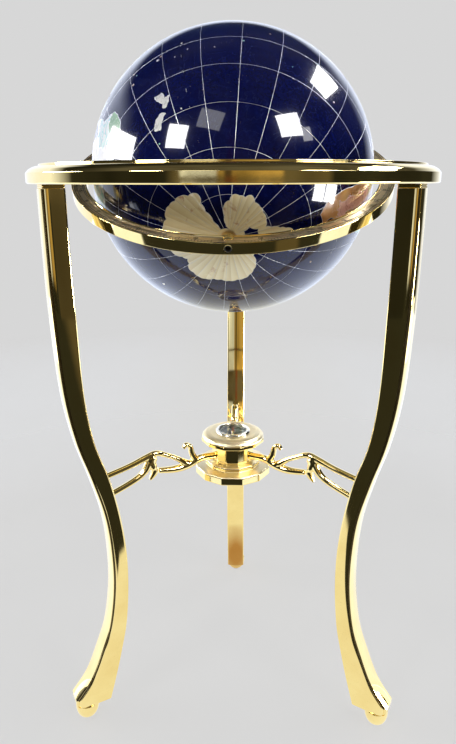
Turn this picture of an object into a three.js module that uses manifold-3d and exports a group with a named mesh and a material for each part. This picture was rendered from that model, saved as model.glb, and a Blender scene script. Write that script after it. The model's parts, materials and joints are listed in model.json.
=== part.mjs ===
// A gemstone-inlay floor globe: a stone ball in a tilting gimbal ring, carried by a horizon ring on three
// curved legs, which fretwork arms tie to a twelve-sided hub with a compass in its top.
// Millimetres, +Z up. The origin is on the floor, on the vertical line through the ball's centre.
// The gimbal tilts about the X axis through the ball's centre, and one leg stands at the back, towards +Y.
import * as THREE from 'three';
import { mergeVertices } from 'three/addons/utils/BufferGeometryUtils.js';
import Module from 'manifold-3d';

const wasm = await Module();
wasm.setup();

// ---- driving dimensions -------------------------------------------------------------------------------
const GAP = 0.3; // between pieces that touch

const BALL_R = 165; // a 13 inch ball
const BALL_Z = 678; // height of the ball's centre, and of the gimbal's hinge
const SHELL_THICK = 8;
const GLOBE_TILT = -68; // degrees about X that lean the polar axis from vertical, north pole back and up

const RING_OUTER = 236.8;
const RING_INNER = 201;
const RING_HALF = 10.5; // half the height of the horizon ring
const RING_BEAD_R = 222.5; // outer radius of the bead round the ring's top

const GIMBAL_OUTER = 188.5;
const GIMBAL_INNER = 171.7;
const GIMBAL_HALF = 6.25; // half the width of the gimbal ring along its own axis
const SCALE_RECESS = 0.8; // depth of the channel that the degree scale lies in
const SCALE_LIP = 1.6; // width of the ring's flat face on each side of the channel

const POLE_SCREW_R = 4.2;
const POLE_PIN_R = 2.9;
const POLE_PIN_END = 152; // distance from the ball's centre to the inner end of a pole pin
const POLE_SHOULDER = 166.5; // distance from the ball's centre to where a pole screw narrows to its pin
const HEX_SOCKET_R = 2.5;
const POLE_SLEEVE_R = 7.5;
const POLE_SLEEVE_OUTER = 180; // distance from the ball's centre to a sleeve's outer end
const POLE_BUSH_R = 8;

const PIVOT_R = 3;
const PIVOT_END = 211; // distance from the ball's centre to the outer end of a pivot screw
const PIVOT_HEAD_R = 5;
const PIVOT_HEAD_THICK = 3.2;
const PIVOT_BUSH_R = 6.5;
const PIVOT_SPACER_R = 6;

const LEG_WIDTH = 27;
const LEG_EDGE = 4; // chamfer along the leg's edges
const LEG_ANGLES = { left: 210, right: 330, back: 90 }; // degrees about Z
const COLLAR_THICK = 4.3;
const COLLAR_DEPTH = 24;
const COLLAR_WIDTH = 25;
const LEG_TOP = BALL_Z - RING_HALF - COLLAR_THICK - 2 * GAP;
const LEG_STUD_OUT = 215.5; // distance of a leg's top stud from the origin's axis
const LEG_STUD_DEPTH = 25;
const FOOT_UNDERSIDE = 22;
const GLIDE_OUT = 213.3; // distance of a glide from the origin's axis
const GLIDE_R = 14.5;
const GLIDE_SHANK_R = 4;
const GLIDE_SHANK_LENGTH = 14;
const PAD_R = 6;
const PAD_THICK = 1.5;

const STUD_R = 3; // leg studs and the hub's bolt
const ARM_STUD_R = 1.6;
const ARM_SCREW_R = 2;

const ARM_THICK = 9;
const ARM_LEG_GAP = 0.4;
const HUB_SIDES = 12;
const HUB_FACET_TURN = Math.PI / HUB_SIDES; // turns the hub so that flats, not corners, face the arms
const NECK_R = 27.5;
const NECK_BORE_R = 15;
const NECK_TOP = 338.1;
const NECK_BOTTOM = 312.2;
const TIER_TOP = 349.4;
const TIER_R = 40.6; // the round crown of the upper tier
const TIER_RIM_R = 42; // the twelve-sided rim under the crown
const TIER_RIM_TOP = 343.6;
const TIER_BOSS_R = 10; // the boss under the upper tier that takes the bolt's thread
const LOWER_TIER_BOTTOM = 294.6;
const LOWER_TIER_R = 50;
const LOWER_STEP_R = 36;
const BOLT_HEAD_BOTTOM = 287.5;
const BOLT_HEAD_TOP = 292.8;
const WASHER_THICK = 1.2;
const ARM_SCREW_Z = 320.5; // height of the screws that hold the arms to the hub's neck
const COMPASS_R = 20.4;
const COMPASS_FLOOR = 343.2;
const COMPASS_WALL_TOP = 349.6;
const DIAL_BOTTOM = 345.1;
const DIAL_THICK = 0.8;
const NEEDLE_Z = 347.5; // underside of the compass needle
const NEEDLE_HALF = 15.8;
const NEEDLE_HALF_WIDTH = 2.6;
const GLASS_BOTTOM = 349.9;
const GLASS_THICK = 1.2;

// Leg outline, as [distance from the axis, height]: the outward edge from top to toe.
const LEG_OUTWARD_EDGE = [
  [227.5, 600], [225.5, 530], [219.5, 440], [208.5, 378], [193.5, 328], [180.5, 278],
  [175, 228], [175, 178], [182, 128], [194, 93], [209.5, 58], [229, 34],
];
// The inward edge from heel to top.
const LEG_INWARD_EDGE = [
  [174, 58], [165.5, 93], [158.5, 128], [154.5, 178], [155, 228], [161, 278],
  [172, 328], [187.5, 378], [196, 440], [199.5, 530], [201.5, 600],
];
const LEG_TOP_OUTWARD = 228.5;
const LEG_TOP_INWARD = 202.5;
const TOE = 229;
const TOE_ROUND = 7;
const HEEL = 184;

// The arm is a set of tapering bars, each a smooth curve of [distance from the axis, height, width].
const ARM_BARS = {
  stem: [[26.9, 320.7, 7], [48, 321.5, 7], [66, 315.8, 8], [84, 314.2, 7], [106, 317.4, 5]],
  hook: [[54, 319.5, 8], [59.5, 329.5, 6.5], [62.5, 340.5, 5], [68, 343.8, 4], [71.8, 339.6, 2.6]],
  upperRail: [
    [66, 317, 9], [80, 327.5, 5], [93, 334.8, 4.6], [108, 341, 5.5], [122, 338, 6], [144, 331.5, 5],
    [174, 325, 5],
  ],
  web: [[113, 338, 11], [116, 331, 13], [112.5, 322, 7], [112, 316, 7], [117.8, 307.6, 1.6]],
  lowerRail: [[118, 331, 9], [123.5, 321.5, 7], [133, 314, 5.5], [148, 307.5, 5], [167, 301, 5]],
};
// Studs that join an arm to its leg, from and to [distance from the axis, height].
const ARM_LEG_STUDS = { upper: [[157, 328.7], [171.5, 325.6]], lower: [[151, 306.4], [165.5, 301.5]] };

// ---- materials ----------------------------------------------------------------------------------------
function material(colour, roughness, metalness) {
  return new THREE.MeshStandardMaterial({ color: colour, roughness, metalness });
}
const BRASS = material(0xd9b25a, 0.12, 1);
const STONE = material(0x101c6e, 0.08, 0);
const STEEL = material(0x8f9196, 0.25, 1);
const NYLON = material(0xe6e2d4, 0.55, 0);
const FELT = material(0x3a2c22, 0.9, 0);
const DIAL = material(0x8c8f8f, 0.45, 0.2);
const GLASS = material(0xe8f0f2, 0.03, 0);
GLASS.transparent = true;
GLASS.opacity = 0.3;
const NEEDLE = material(0xb02a22, 0.35, 0.4);
const SILVER = material(0xdedede, 0.15, 1);

// ---- solids -------------------------------------------------------------------------------------------
// A manifold solid from closed geometry, with shared corners merged and faces turned outward.
function solidOf(geometry) {
  const bare = geometry.clone();
  bare.deleteAttribute('normal');
  bare.deleteAttribute('uv');
  const merged = mergeVertices(bare, 1e-4);
  const place = merged.attributes.position;
  const corners = Array.from(merged.index.array);
  const a = new THREE.Vector3();
  const b = new THREE.Vector3();
  const c = new THREE.Vector3();
  let faces = [];
  let volume = 0;
  for (let i = 0; i < corners.length; i += 3) {
    const [p, q, r] = corners.slice(i, i + 3);
    if (p === q || q === r || r === p) {
      continue;
    }
    faces.push([p, q, r]);
    a.fromBufferAttribute(place, p);
    b.fromBufferAttribute(place, q);
    c.fromBufferAttribute(place, r);
    volume += a.dot(b.cross(c));
  }
  if (volume < 0) {
    faces = faces.map(([p, q, r]) => [p, r, q]);
  }
  const mesh = new wasm.Mesh({
    numProp: 3,
    vertProperties: new Float32Array(place.array),
    triVerts: new Uint32Array(faces.flat()),
  });
  return new wasm.Manifold(mesh);
}

// Display geometry from a manifold solid.
function geometryOf(solid) {
  const mesh = solid.getMesh();
  const geometry = new THREE.BufferGeometry();
  geometry.setAttribute('position', new THREE.BufferAttribute(new Float32Array(mesh.vertProperties), 3));
  geometry.setIndex(new THREE.BufferAttribute(new Uint32Array(mesh.triVerts), 1));
  geometry.computeVertexNormals();
  return geometry;
}

function cut(body, ...tools) {
  return tools.reduce((left, tool) => left.subtract(tool), body);
}

function join(body, ...others) {
  return others.reduce((whole, other) => whole.add(other), body);
}

// A turned piece about the Z axis from [radius, height] corners. The profile starts and ends on the axis,
// or closes on itself when it doesn't.
function turned(profile, segments = 32, startAngle = 0) {
  const points = profile.map(([radius, height]) => new THREE.Vector2(radius, height));
  const onAxis = profile[0][0] === 0 && profile.at(-1)[0] === 0;
  if (!onAxis) {
    points.push(points[0].clone());
  }
  return new THREE.LatheGeometry(points, segments, startAngle).rotateX(Math.PI / 2);
}

// A cylinder about the Z axis.
function rod(radius, bottom, top, segments = 20) {
  return turned([[0, bottom], [radius, bottom], [radius, top], [0, top]], segments);
}

// A tube about the Z axis.
function tube(inner, outer, bottom, top, segments = 24) {
  return turned([[inner, bottom], [outer, bottom], [outer, top], [inner, top]], segments);
}

// Lays geometry made about the Z axis along the X axis, +Z becoming +X.
function alongX(geometry) {
  return geometry.rotateY(Math.PI / 2);
}

// Extrudes an outline drawn in (distance from the axis, height) to a plate centred on the radial plane.
function radialPlate(shape, thickness, edge, curveSegments) {
  const options = { depth: thickness - 2 * edge, curveSegments, bevelEnabled: edge > 0 };
  if (edge > 0) {
    Object.assign(options, { bevelThickness: edge, bevelSize: edge, bevelOffset: -edge, bevelSegments: 1 });
  }
  const plate = new THREE.ExtrudeGeometry(shape, options);
  return plate.translate(0, 0, edge - thickness / 2).rotateX(Math.PI / 2);
}

// A round pin between two points of the radial plane.
function radialPin([fromOut, fromUp], [toOut, toUp], radius) {
  const run = new THREE.Vector2(toOut - fromOut, toUp - fromUp);
  const pin = rod(radius, 0, run.length(), 12);
  return alongX(pin).rotateY(-run.angle()).translate(fromOut, 0, fromUp);
}

// The outline of a bar that follows a smooth curve of [distance from the axis, height, width].
function barOutline(bar, steps = 9) {
  const line = new THREE.SplineCurve(bar.map(([out, up]) => new THREE.Vector2(out, up)));
  const width = new THREE.SplineCurve(bar.map((point, i) => new THREE.Vector2(i, point[2])));
  const near = [];
  const far = [];
  for (let i = 0; i <= steps; i += 1) {
    const t = i / steps;
    const point = line.getPoint(t);
    const along = line.getTangent(t);
    const half = width.getPoint(t).y / 2;
    near.push(new THREE.Vector2(point.x + along.y * half, point.y - along.x * half));
    far.unshift(new THREE.Vector2(point.x - along.y * half, point.y + along.x * half));
  }
  return new THREE.Shape([...near, ...far]);
}

// ---- the object tree ----------------------------------------------------------------------------------
const globeStand = new THREE.Group();

function place(name, shape, finish, parent = globeStand) {
  const solid = shape.isBufferGeometry ? solidOf(shape) : shape;
  const mesh = new THREE.Mesh(geometryOf(solid), finish);
  mesh.name = name;
  parent.add(mesh);
  return mesh;
}

// ---- horizon ring -------------------------------------------------------------------------------------
const hingeLevel = new THREE.Group();
hingeLevel.position.z = BALL_Z;
globeStand.add(hingeLevel);

function horizonRing() {
  const beadUnderside = 8.9;
  const crease = 0.9; // where the sloping shoulder meets the upright band
  const shoulder = [[RING_OUTER - 3.2, 4.6], [RING_OUTER - 8.4, 7.4], [RING_BEAD_R, beadUnderside]];
  const profile = [
    [RING_INNER, -RING_HALF], [RING_OUTER - 1.6, -RING_HALF], [RING_OUTER, -RING_HALF + 1.3],
    [RING_OUTER, crease], ...shoulder, [RING_BEAD_R, RING_HALF], [RING_INNER + 2, RING_HALF],
    [RING_INNER, RING_HALF - 2],
  ];
  let ring = solidOf(turned(profile, 48));
  for (const side of [0, Math.PI]) {
    const seat = alongX(rod(PIVOT_BUSH_R + GAP, RING_INNER - 5, PIVOT_END + 3)).rotateZ(side);
    ring = cut(ring, solidOf(seat));
  }
  for (const angle of Object.values(LEG_ANGLES)) {
    const hole = rod(STUD_R + GAP, -RING_HALF - 1, 0, 12).translate(LEG_STUD_OUT, 0, 0);
    ring = cut(ring, solidOf(hole.rotateZ(THREE.MathUtils.degToRad(angle))));
  }
  return ring;
}
place('horizon_ring', horizonRing(), BRASS, hingeLevel);

for (const [side, turn] of [['left', Math.PI], ['right', 0]]) {
  const bush = tube(PIVOT_R + GAP, PIVOT_BUSH_R, RING_INNER, PIVOT_END + 2.5);
  place(`pivot_bush_${side}`, alongX(bush).rotateZ(turn), NYLON, hingeLevel);
}

// ---- legs ---------------------------------------------------------------------------------------------
function legOutline() {
  const points = (list) => list.map(([out, up]) => new THREE.Vector2(out, up));
  const outline = new THREE.Shape();
  outline.moveTo(LEG_TOP_INWARD, LEG_TOP);
  outline.lineTo(LEG_TOP_OUTWARD, LEG_TOP);
  outline.splineThru(points(LEG_OUTWARD_EDGE));
  outline.lineTo(TOE, FOOT_UNDERSIDE + TOE_ROUND);
  outline.quadraticCurveTo(TOE, FOOT_UNDERSIDE, TOE - TOE_ROUND, FOOT_UNDERSIDE);
  outline.lineTo(HEEL, FOOT_UNDERSIDE);
  outline.splineThru(points([...LEG_INWARD_EDGE, [LEG_TOP_INWARD, LEG_TOP]]));
  return outline;
}

// The direction of a stud from its inner end to its outer end.
function studRun([near, far]) {
  return new THREE.Vector2(far[0] - near[0], far[1] - near[1]).normalize();
}

function leg() {
  const studBottom = LEG_TOP - LEG_STUD_DEPTH;
  const topBore = rod(STUD_R + GAP, studBottom - 1, LEG_TOP + 5, 12).translate(LEG_STUD_OUT, 0, 0);
  const shankTop = FOOT_UNDERSIDE + GLIDE_SHANK_LENGTH;
  const glideBore = rod(GLIDE_SHANK_R + GAP, FOOT_UNDERSIDE - 5, shankTop + 1, 12);
  const studBores = Object.values(ARM_LEG_STUDS).map((stud) => {
    const [near, far] = stud;
    const run = studRun(stud);
    return radialPin(near, [far[0] + run.x * 6, far[1] + run.y * 6], ARM_STUD_R + GAP);
  });
  const tools = [topBore, glideBore.translate(GLIDE_OUT, 0, 0), ...studBores].map(solidOf);
  return cut(solidOf(radialPlate(legOutline(), LEG_WIDTH, LEG_EDGE, 2)), ...tools);
}

// A domed foot with a flat for the pad, and a shank that screws up into the leg.
function footGlide() {
  const flatR = PAD_R + 0.5;
  const domeTop = 17;
  const domeBottom = PAD_THICK + GAP;
  const dome = [[flatR, domeBottom]];
  for (let i = 1; i <= 5; i += 1) {
    const angle = (i / 5) * (Math.PI / 2);
    const radius = flatR + (GLIDE_R - flatR) * Math.sin(angle);
    dome.push([radius, domeTop - (domeTop - domeBottom) * Math.cos(angle)]);
  }
  const top = FOOT_UNDERSIDE - GAP;
  const shankTop = FOOT_UNDERSIDE + GLIDE_SHANK_LENGTH;
  const profile = [
    [0, domeBottom], ...dome, [GLIDE_R, top - 1], [GLIDE_R - 1, top], [GLIDE_SHANK_R, top],
    [GLIDE_SHANK_R, shankTop], [0, shankTop],
  ];
  return turned(profile, 16).translate(GLIDE_OUT, 0, 0);
}

// The thin block between a leg and the ring.
function legCollar() {
  const middle = LEG_TOP + GAP + COLLAR_THICK / 2;
  const block = new THREE.BoxGeometry(COLLAR_DEPTH, COLLAR_WIDTH, COLLAR_THICK);
  block.translate(LEG_STUD_OUT, 0, middle);
  const hole = rod(STUD_R + GAP, LEG_TOP - 1, LEG_TOP + COLLAR_THICK + 2, 12).translate(LEG_STUD_OUT, 0, 0);
  return cut(solidOf(block), solidOf(hole));
}

// ---- stretcher arm, in the same radial plane as its leg -----------------------------------------------
function stretcherArm() {
  const bars = Object.values(ARM_BARS).map((bar) => solidOf(radialPlate(barOutline(bar), ARM_THICK, 0, 1)));
  const legShape = radialPlate(legOutline(), LEG_WIDTH + 10, 0, 2);
  const legClearance = solidOf(legShape.translate(-ARM_LEG_GAP, 0, 0));
  const boreR = ARM_STUD_R + GAP;
  const studBores = Object.values(ARM_LEG_STUDS).map(([near, far]) => solidOf(radialPin(near, far, boreR)));
  const screwBore = solidOf(radialPin([20, ARM_SCREW_Z], [41, ARM_SCREW_Z], ARM_SCREW_R + GAP));
  return cut(join(...bars), legClearance, screwBore, ...studBores);
}

// A screw from inside the hub's neck into an arm's stem.
function hubArmScrew() {
  const headStart = 11;
  const headEnd = 14.3;
  const tip = 39.5;
  const profile = [
    [0, headStart], [2 * ARM_SCREW_R, headStart], [2 * ARM_SCREW_R, headEnd], [ARM_SCREW_R, headEnd],
    [ARM_SCREW_R, tip], [0, tip],
  ];
  return alongX(turned(profile, 12)).translate(0, 0, ARM_SCREW_Z);
}

for (const [side, angle] of Object.entries(LEG_ANGLES)) {
  const spoke = new THREE.Group();
  spoke.rotation.z = THREE.MathUtils.degToRad(angle);
  globeStand.add(spoke);

  const legStud = rod(STUD_R, LEG_TOP - LEG_STUD_DEPTH, BALL_Z - 1, 12).translate(LEG_STUD_OUT, 0, 0);
  place(`leg_collar_${side}`, legCollar(), BRASS, spoke);
  place(`leg_stud_${side}`, legStud, STEEL, spoke);
  place(`leg_${side}`, leg(), BRASS, spoke);
  place(`foot_glide_${side}`, footGlide(), BRASS, spoke);
  place(`foot_pad_${side}`, rod(PAD_R, 0, PAD_THICK, 24).translate(GLIDE_OUT, 0, 0), FELT, spoke);
  place(`stretcher_arm_${side}`, stretcherArm(), BRASS, spoke);
  place(`hub_arm_screw_${side}`, hubArmScrew(), STEEL, spoke);
  for (const [level, stud] of Object.entries(ARM_LEG_STUDS)) {
    const [near, far] = stud;
    const run = studRun(stud);
    const inner = [near[0] + run.x * GAP, near[1] + run.y * GAP];
    const outer = [far[0] + run.x * 5.5, far[1] + run.y * 5.5];
    place(`arm_stud_${side}_${level}`, radialPin(inner, outer, ARM_STUD_R), STEEL, spoke);
  }
}

// ---- hub ----------------------------------------------------------------------------------------------
const BOLT_END = 338;

function hubUpperTier() {
  const bottom = NECK_TOP + GAP;
  const crown = turned([
    [0, TIER_RIM_TOP - 0.5], [TIER_R, TIER_RIM_TOP - 0.5], [TIER_R - 0.5, 345.2], [TIER_R - 2.2, 347.2],
    [TIER_R - 5, 348.7], [TIER_R - 8.6, TIER_TOP], [0, TIER_TOP],
  ], 48);
  const rim = turned(
    [
      [0, bottom], [TIER_RIM_R - 1, bottom], [TIER_RIM_R, bottom + 1], [TIER_RIM_R, TIER_RIM_TOP - 0.8],
      [TIER_RIM_R - 1, TIER_RIM_TOP], [0, TIER_RIM_TOP],
    ],
    HUB_SIDES,
    HUB_FACET_TURN,
  );
  const boss = rod(TIER_BOSS_R, 329, bottom + 1.4, 24);
  const compassSeat = rod(COMPASS_R + GAP, COMPASS_FLOOR - GAP, TIER_TOP + 5, 32);
  const thread = rod(STUD_R + GAP, 320, BOLT_END + 0.5, 16);
  const tier = join(solidOf(crown), solidOf(rim), solidOf(boss));
  return cut(tier, solidOf(compassSeat), solidOf(thread));
}

function hubNeck() {
  const profile = [[0, NECK_BOTTOM], [NECK_R, NECK_BOTTOM], [NECK_R, NECK_TOP], [0, NECK_TOP]];
  const column = turned(profile, HUB_SIDES, HUB_FACET_TURN);
  const bores = Object.values(LEG_ANGLES).map((angle) => {
    const bore = alongX(rod(ARM_SCREW_R + GAP, 5, 40, 12)).translate(0, 0, ARM_SCREW_Z);
    return solidOf(bore.rotateZ(THREE.MathUtils.degToRad(angle)));
  });
  return cut(solidOf(column), solidOf(rod(NECK_BORE_R, NECK_BOTTOM - 5, NECK_TOP + 5, 24)), ...bores);
}

function hubLowerTier() {
  const top = NECK_BOTTOM - GAP;
  const shoulder = 305.6;
  const step = 308.2;
  const profile = [
    [0, LOWER_TIER_BOTTOM], [LOWER_TIER_R - 1, LOWER_TIER_BOTTOM], [LOWER_TIER_R, LOWER_TIER_BOTTOM + 1],
    [LOWER_TIER_R, shoulder - 1.2], [LOWER_TIER_R - 1.4, shoulder], [LOWER_STEP_R, step],
    [LOWER_STEP_R, top - 1.1], [LOWER_STEP_R - 1.4, top], [0, top],
  ];
  return cut(solidOf(turned(profile, HUB_SIDES, HUB_FACET_TURN)), solidOf(rod(STUD_R + GAP, 290, 320, 16)));
}

function hubBolt() {
  const shank = rod(STUD_R, BOLT_HEAD_TOP - 0.8, BOLT_END, 16);
  const head = rod(7.5, BOLT_HEAD_BOTTOM, BOLT_HEAD_TOP, 6);
  const dome = turned([[0, 284.6], [3, 285], [5.2, 286.2], [6.2, 288], [0, 288]], 18);
  return join(solidOf(shank), solidOf(head), solidOf(dome));
}

const WASHER_BOTTOM = BOLT_HEAD_TOP + GAP;
place('hub_upper_tier', hubUpperTier(), BRASS);
place('hub_neck', hubNeck(), BRASS);
place('hub_lower_tier', hubLowerTier(), BRASS);
place('hub_washer', tube(STUD_R + GAP, 9, WASHER_BOTTOM, WASHER_BOTTOM + WASHER_THICK), BRASS);
place('hub_bolt', hubBolt(), BRASS);

// ---- compass in the hub's top -------------------------------------------------------------------------
function compassCase() {
  const innerR = COMPASS_R - 2;
  const floor = COMPASS_FLOOR + 1.6;
  return turned([
    [0, COMPASS_FLOOR], [COMPASS_R, COMPASS_FLOOR], [COMPASS_R, COMPASS_WALL_TOP],
    [innerR, COMPASS_WALL_TOP], [innerR, floor], [0, floor],
  ], 32);
}

// The collar that holds the glass down and stands round the compass's case.
function compassBezel() {
  const seatR = COMPASS_R + GAP;
  const openR = COMPASS_R - 2.4;
  const skirt = TIER_TOP + GAP;
  const overGlass = GLASS_BOTTOM + GLASS_THICK + GAP;
  return turned([
    [openR, overGlass], [seatR, overGlass], [seatR, skirt], [COMPASS_R + 2.8, skirt],
    [COMPASS_R + 1.6, overGlass], [COMPASS_R + 0.8, overGlass + 1], [openR + 0.6, overGlass + 1],
  ], 28);
}

function compassNeedle() {
  const outline = new THREE.Shape([
    new THREE.Vector2(0, NEEDLE_HALF), new THREE.Vector2(-NEEDLE_HALF_WIDTH, 0),
    new THREE.Vector2(0, -NEEDLE_HALF), new THREE.Vector2(NEEDLE_HALF_WIDTH, 0),
  ]);
  const blade = new THREE.ExtrudeGeometry(outline, { depth: 0.5, bevelEnabled: false });
  const eye = rod(1.6, NEEDLE_Z - 1.5, NEEDLE_Z + 2.5, 16);
  return cut(solidOf(blade.translate(0, 0, NEEDLE_Z)), solidOf(eye));
}

// The cap rides on the pin's point and carries the needle.
function needleCap() {
  const rim = NEEDLE_Z - 0.2;
  const profile = [[0, 348.2], [1.1, rim], [1.3, rim], [1.3, 348.8], [0.6, 349.3], [0, 349.3]];
  return turned(profile, 16);
}

const PIN_PROFILE = [[0, DIAL_BOTTOM], [0.8, DIAL_BOTTOM], [0.8, NEEDLE_Z - 0.3], [0, 347.9]];
place('compass_case', compassCase(), SILVER);
place('compass_dial', tube(1.2, COMPASS_R - 2.4, DIAL_BOTTOM, DIAL_BOTTOM + DIAL_THICK, 32), DIAL);
place('compass_pivot_pin', turned(PIN_PROFILE, 12), STEEL);
place('compass_glass', rod(COMPASS_R - 0.4, GLASS_BOTTOM, GLASS_BOTTOM + GLASS_THICK, 32), GLASS);
place('compass_bezel', compassBezel(), SILVER);
place('compass_needle', compassNeedle(), NEEDLE);
place('needle_cap', needleCap(), BRASS);

// ---- gimbal -------------------------------------------------------------------------------------------
// In the tilted group the polar axis is Z, with the north pole at +Z, and the gimbal ring turns round Y.
const gimbal = new THREE.Group();
gimbal.position.z = BALL_Z;
gimbal.rotation.x = THREE.MathUtils.degToRad(GLOBE_TILT);
globeStand.add(gimbal);

function gimbalRing() {
  const face = GIMBAL_HALF;
  const floor = GIMBAL_HALF - SCALE_RECESS;
  const inside = GIMBAL_INNER + SCALE_LIP;
  const outside = GIMBAL_OUTER - SCALE_LIP;
  const profile = [
    [GIMBAL_INNER, -face], [inside - 0.2, -face], [inside + 0.2, -floor], [outside - 0.4, -floor],
    [outside, -face], [GIMBAL_OUTER, -face], [GIMBAL_OUTER, face], [GIMBAL_INNER, face],
  ];
  let ring = solidOf(turned(profile, 48).rotateX(-Math.PI / 2));
  for (const turn of [0, Math.PI]) {
    const poleTools = [
      rod(POLE_SCREW_R + GAP, 160, 200),
      rod(POLE_SLEEVE_R + GAP, 160, POLE_SLEEVE_OUTER + GAP, 24),
    ].map((tool) => solidOf(tool.rotateX(turn)));
    const pivotTools = [
      alongX(rod(PIVOT_R + GAP, 165, 200, 16)),
      alongX(rod(PIVOT_HEAD_R + 0.5, 165, GIMBAL_INNER + 4, 16)),
    ].map((tool) => solidOf(tool.rotateZ(turn)));
    ring = cut(ring, ...poleTools, ...pivotTools);
  }
  return ring;
}
place('gimbal_ring', gimbalRing(), BRASS, gimbal);

function pivotScrew() {
  const headStart = GIMBAL_INNER + 0.5;
  const headEnd = headStart + PIVOT_HEAD_THICK;
  return turned([
    [0, headStart], [PIVOT_HEAD_R, headStart], [PIVOT_HEAD_R, headEnd], [PIVOT_R, headEnd],
    [PIVOT_R, PIVOT_END - 1], [PIVOT_R - 1, PIVOT_END], [0, PIVOT_END],
  ], 16);
}

for (const [side, turn] of [['left', Math.PI], ['right', 0]]) {
  const spacer = tube(PIVOT_R + GAP, PIVOT_SPACER_R, GIMBAL_OUTER + GAP, RING_INNER - 0.8);
  place(`pivot_screw_${side}`, alongX(pivotScrew()).rotateZ(turn), STEEL, gimbal);
  place(`pivot_spacer_${side}`, alongX(spacer).rotateZ(turn), BRASS, gimbal);
}

function poleScrew() {
  const outer = GIMBAL_OUTER - 0.4;
  const body = turned([
    [0, POLE_PIN_END], [POLE_PIN_R - 0.8, POLE_PIN_END], [POLE_PIN_R, POLE_PIN_END + 0.8],
    [POLE_PIN_R, POLE_SHOULDER], [POLE_SCREW_R, POLE_SHOULDER], [POLE_SCREW_R, outer - 0.6],
    [POLE_SCREW_R - 0.6, outer], [0, outer],
  ], 20);
  return cut(solidOf(body), solidOf(rod(HEX_SOCKET_R, outer - 4.5, outer + 5, 6)));
}

const POLE_BUSH = tube(POLE_PIN_R + GAP, POLE_BUSH_R, POLE_PIN_END + 2, 164.2);
const POLE_SLEEVE = tube(POLE_SCREW_R + GAP, POLE_SLEEVE_R, POLE_SHOULDER - 0.2, POLE_SLEEVE_OUTER, 24);

for (const [pole, turn] of [['north', 0], ['south', Math.PI]]) {
  const end = new THREE.Group();
  end.rotation.x = turn;
  gimbal.add(end);
  place(`pole_screw_${pole}`, poleScrew(), STEEL, end);
  place(`pole_sleeve_${pole}`, POLE_SLEEVE, BRASS, end);
  place(`pole_bush_${pole}`, POLE_BUSH, BRASS, end);
}

// ---- ball ---------------------------------------------------------------------------------------------
function globeShell() {
  const holeR = POLE_BUSH_R + GAP;
  const arc = (radius, steps) => {
    const start = Math.asin(holeR / radius);
    const points = [];
    for (let i = 0; i <= steps; i += 1) {
      const angle = start + ((Math.PI - 2 * start) * i) / steps;
      points.push([radius * Math.sin(angle), -radius * Math.cos(angle)]);
    }
    return points;
  };
  return turned([...arc(BALL_R, 18), ...arc(BALL_R - SHELL_THICK, 6).reverse()], 40);
}
place('globe_shell', globeShell(), STONE, gimbal);

export default globeStand;
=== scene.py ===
"""Looks for a gemstone floor globe: a lapis ball with inlaid stone continents, in a brass gimbal and stand.

Profiles and outlines are in millimetres, in each piece's own frame, and are scaled to metres when built.
"""
import json
import math
import random

import bmesh
import bpy
from mathutils import Matrix, Quaternion, Vector
from mathutils.geometry import delaunay_2d_cdt


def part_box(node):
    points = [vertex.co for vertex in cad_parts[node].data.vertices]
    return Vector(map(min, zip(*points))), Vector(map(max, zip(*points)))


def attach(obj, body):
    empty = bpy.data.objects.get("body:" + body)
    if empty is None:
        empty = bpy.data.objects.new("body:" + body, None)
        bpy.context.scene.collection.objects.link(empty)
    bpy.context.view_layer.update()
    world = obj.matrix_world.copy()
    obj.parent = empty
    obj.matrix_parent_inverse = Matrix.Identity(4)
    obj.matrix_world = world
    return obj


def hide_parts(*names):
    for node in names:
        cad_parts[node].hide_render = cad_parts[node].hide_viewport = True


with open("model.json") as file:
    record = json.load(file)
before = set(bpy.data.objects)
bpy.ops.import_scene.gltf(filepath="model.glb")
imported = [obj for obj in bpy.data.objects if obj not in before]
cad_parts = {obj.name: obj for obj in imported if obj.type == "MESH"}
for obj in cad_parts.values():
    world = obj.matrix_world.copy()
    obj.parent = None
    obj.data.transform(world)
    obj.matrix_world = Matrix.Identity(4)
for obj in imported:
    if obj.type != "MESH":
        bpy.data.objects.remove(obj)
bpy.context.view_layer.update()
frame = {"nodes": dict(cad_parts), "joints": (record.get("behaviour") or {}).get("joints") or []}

MM = 0.001

# ---- driving values, read from the frame -----------------------------------------------------------------
SPIN = next(joint for joint in frame["joints"] if joint["name"] == "globe_spin")
POLAR_AXIS = Vector(SPIN["axis"])
HINGE = Vector(SPIN["pos_m"])
TILTED = Matrix.Translation(HINGE) @ Matrix.Rotation(-math.atan2(POLAR_AXIS.y, POLAR_AXIS.z), 4, "X")
HINGE_LEVEL = Matrix.Translation(HINGE)
LEG_ANGLES = {"left": 210, "right": 330, "back": 90}
SIDES = {"left": math.pi, "right": 0.0}
POLES = {"north": 0.0, "south": math.pi}

BALL_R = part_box("globe_shell")[1].x / MM
OCEAN_R = BALL_R - 0.4
STONE_R = BALL_R - 0.26
RING_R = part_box("horizon_ring")[1].x / MM
LEG_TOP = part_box("leg_back")[1].z / MM
FOOT_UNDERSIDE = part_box("leg_back")[0].z / MM
LEG_WIDTH = (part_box("leg_back")[1].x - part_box("leg_back")[0].x) / MM


# ---- camera ----------------------------------------------------------------------------------------------
CAMERA_PLACE = Vector((0.020, -0.7646, 0.6713))
CAMERA_PITCH = 0.2381  # down from level
CAMERA_YAW = 0.0341
CAMERA_ROLL = 0.0023
CAMERA_LENS = 30.02
CAMERA_SHIFT = -0.0559


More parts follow.
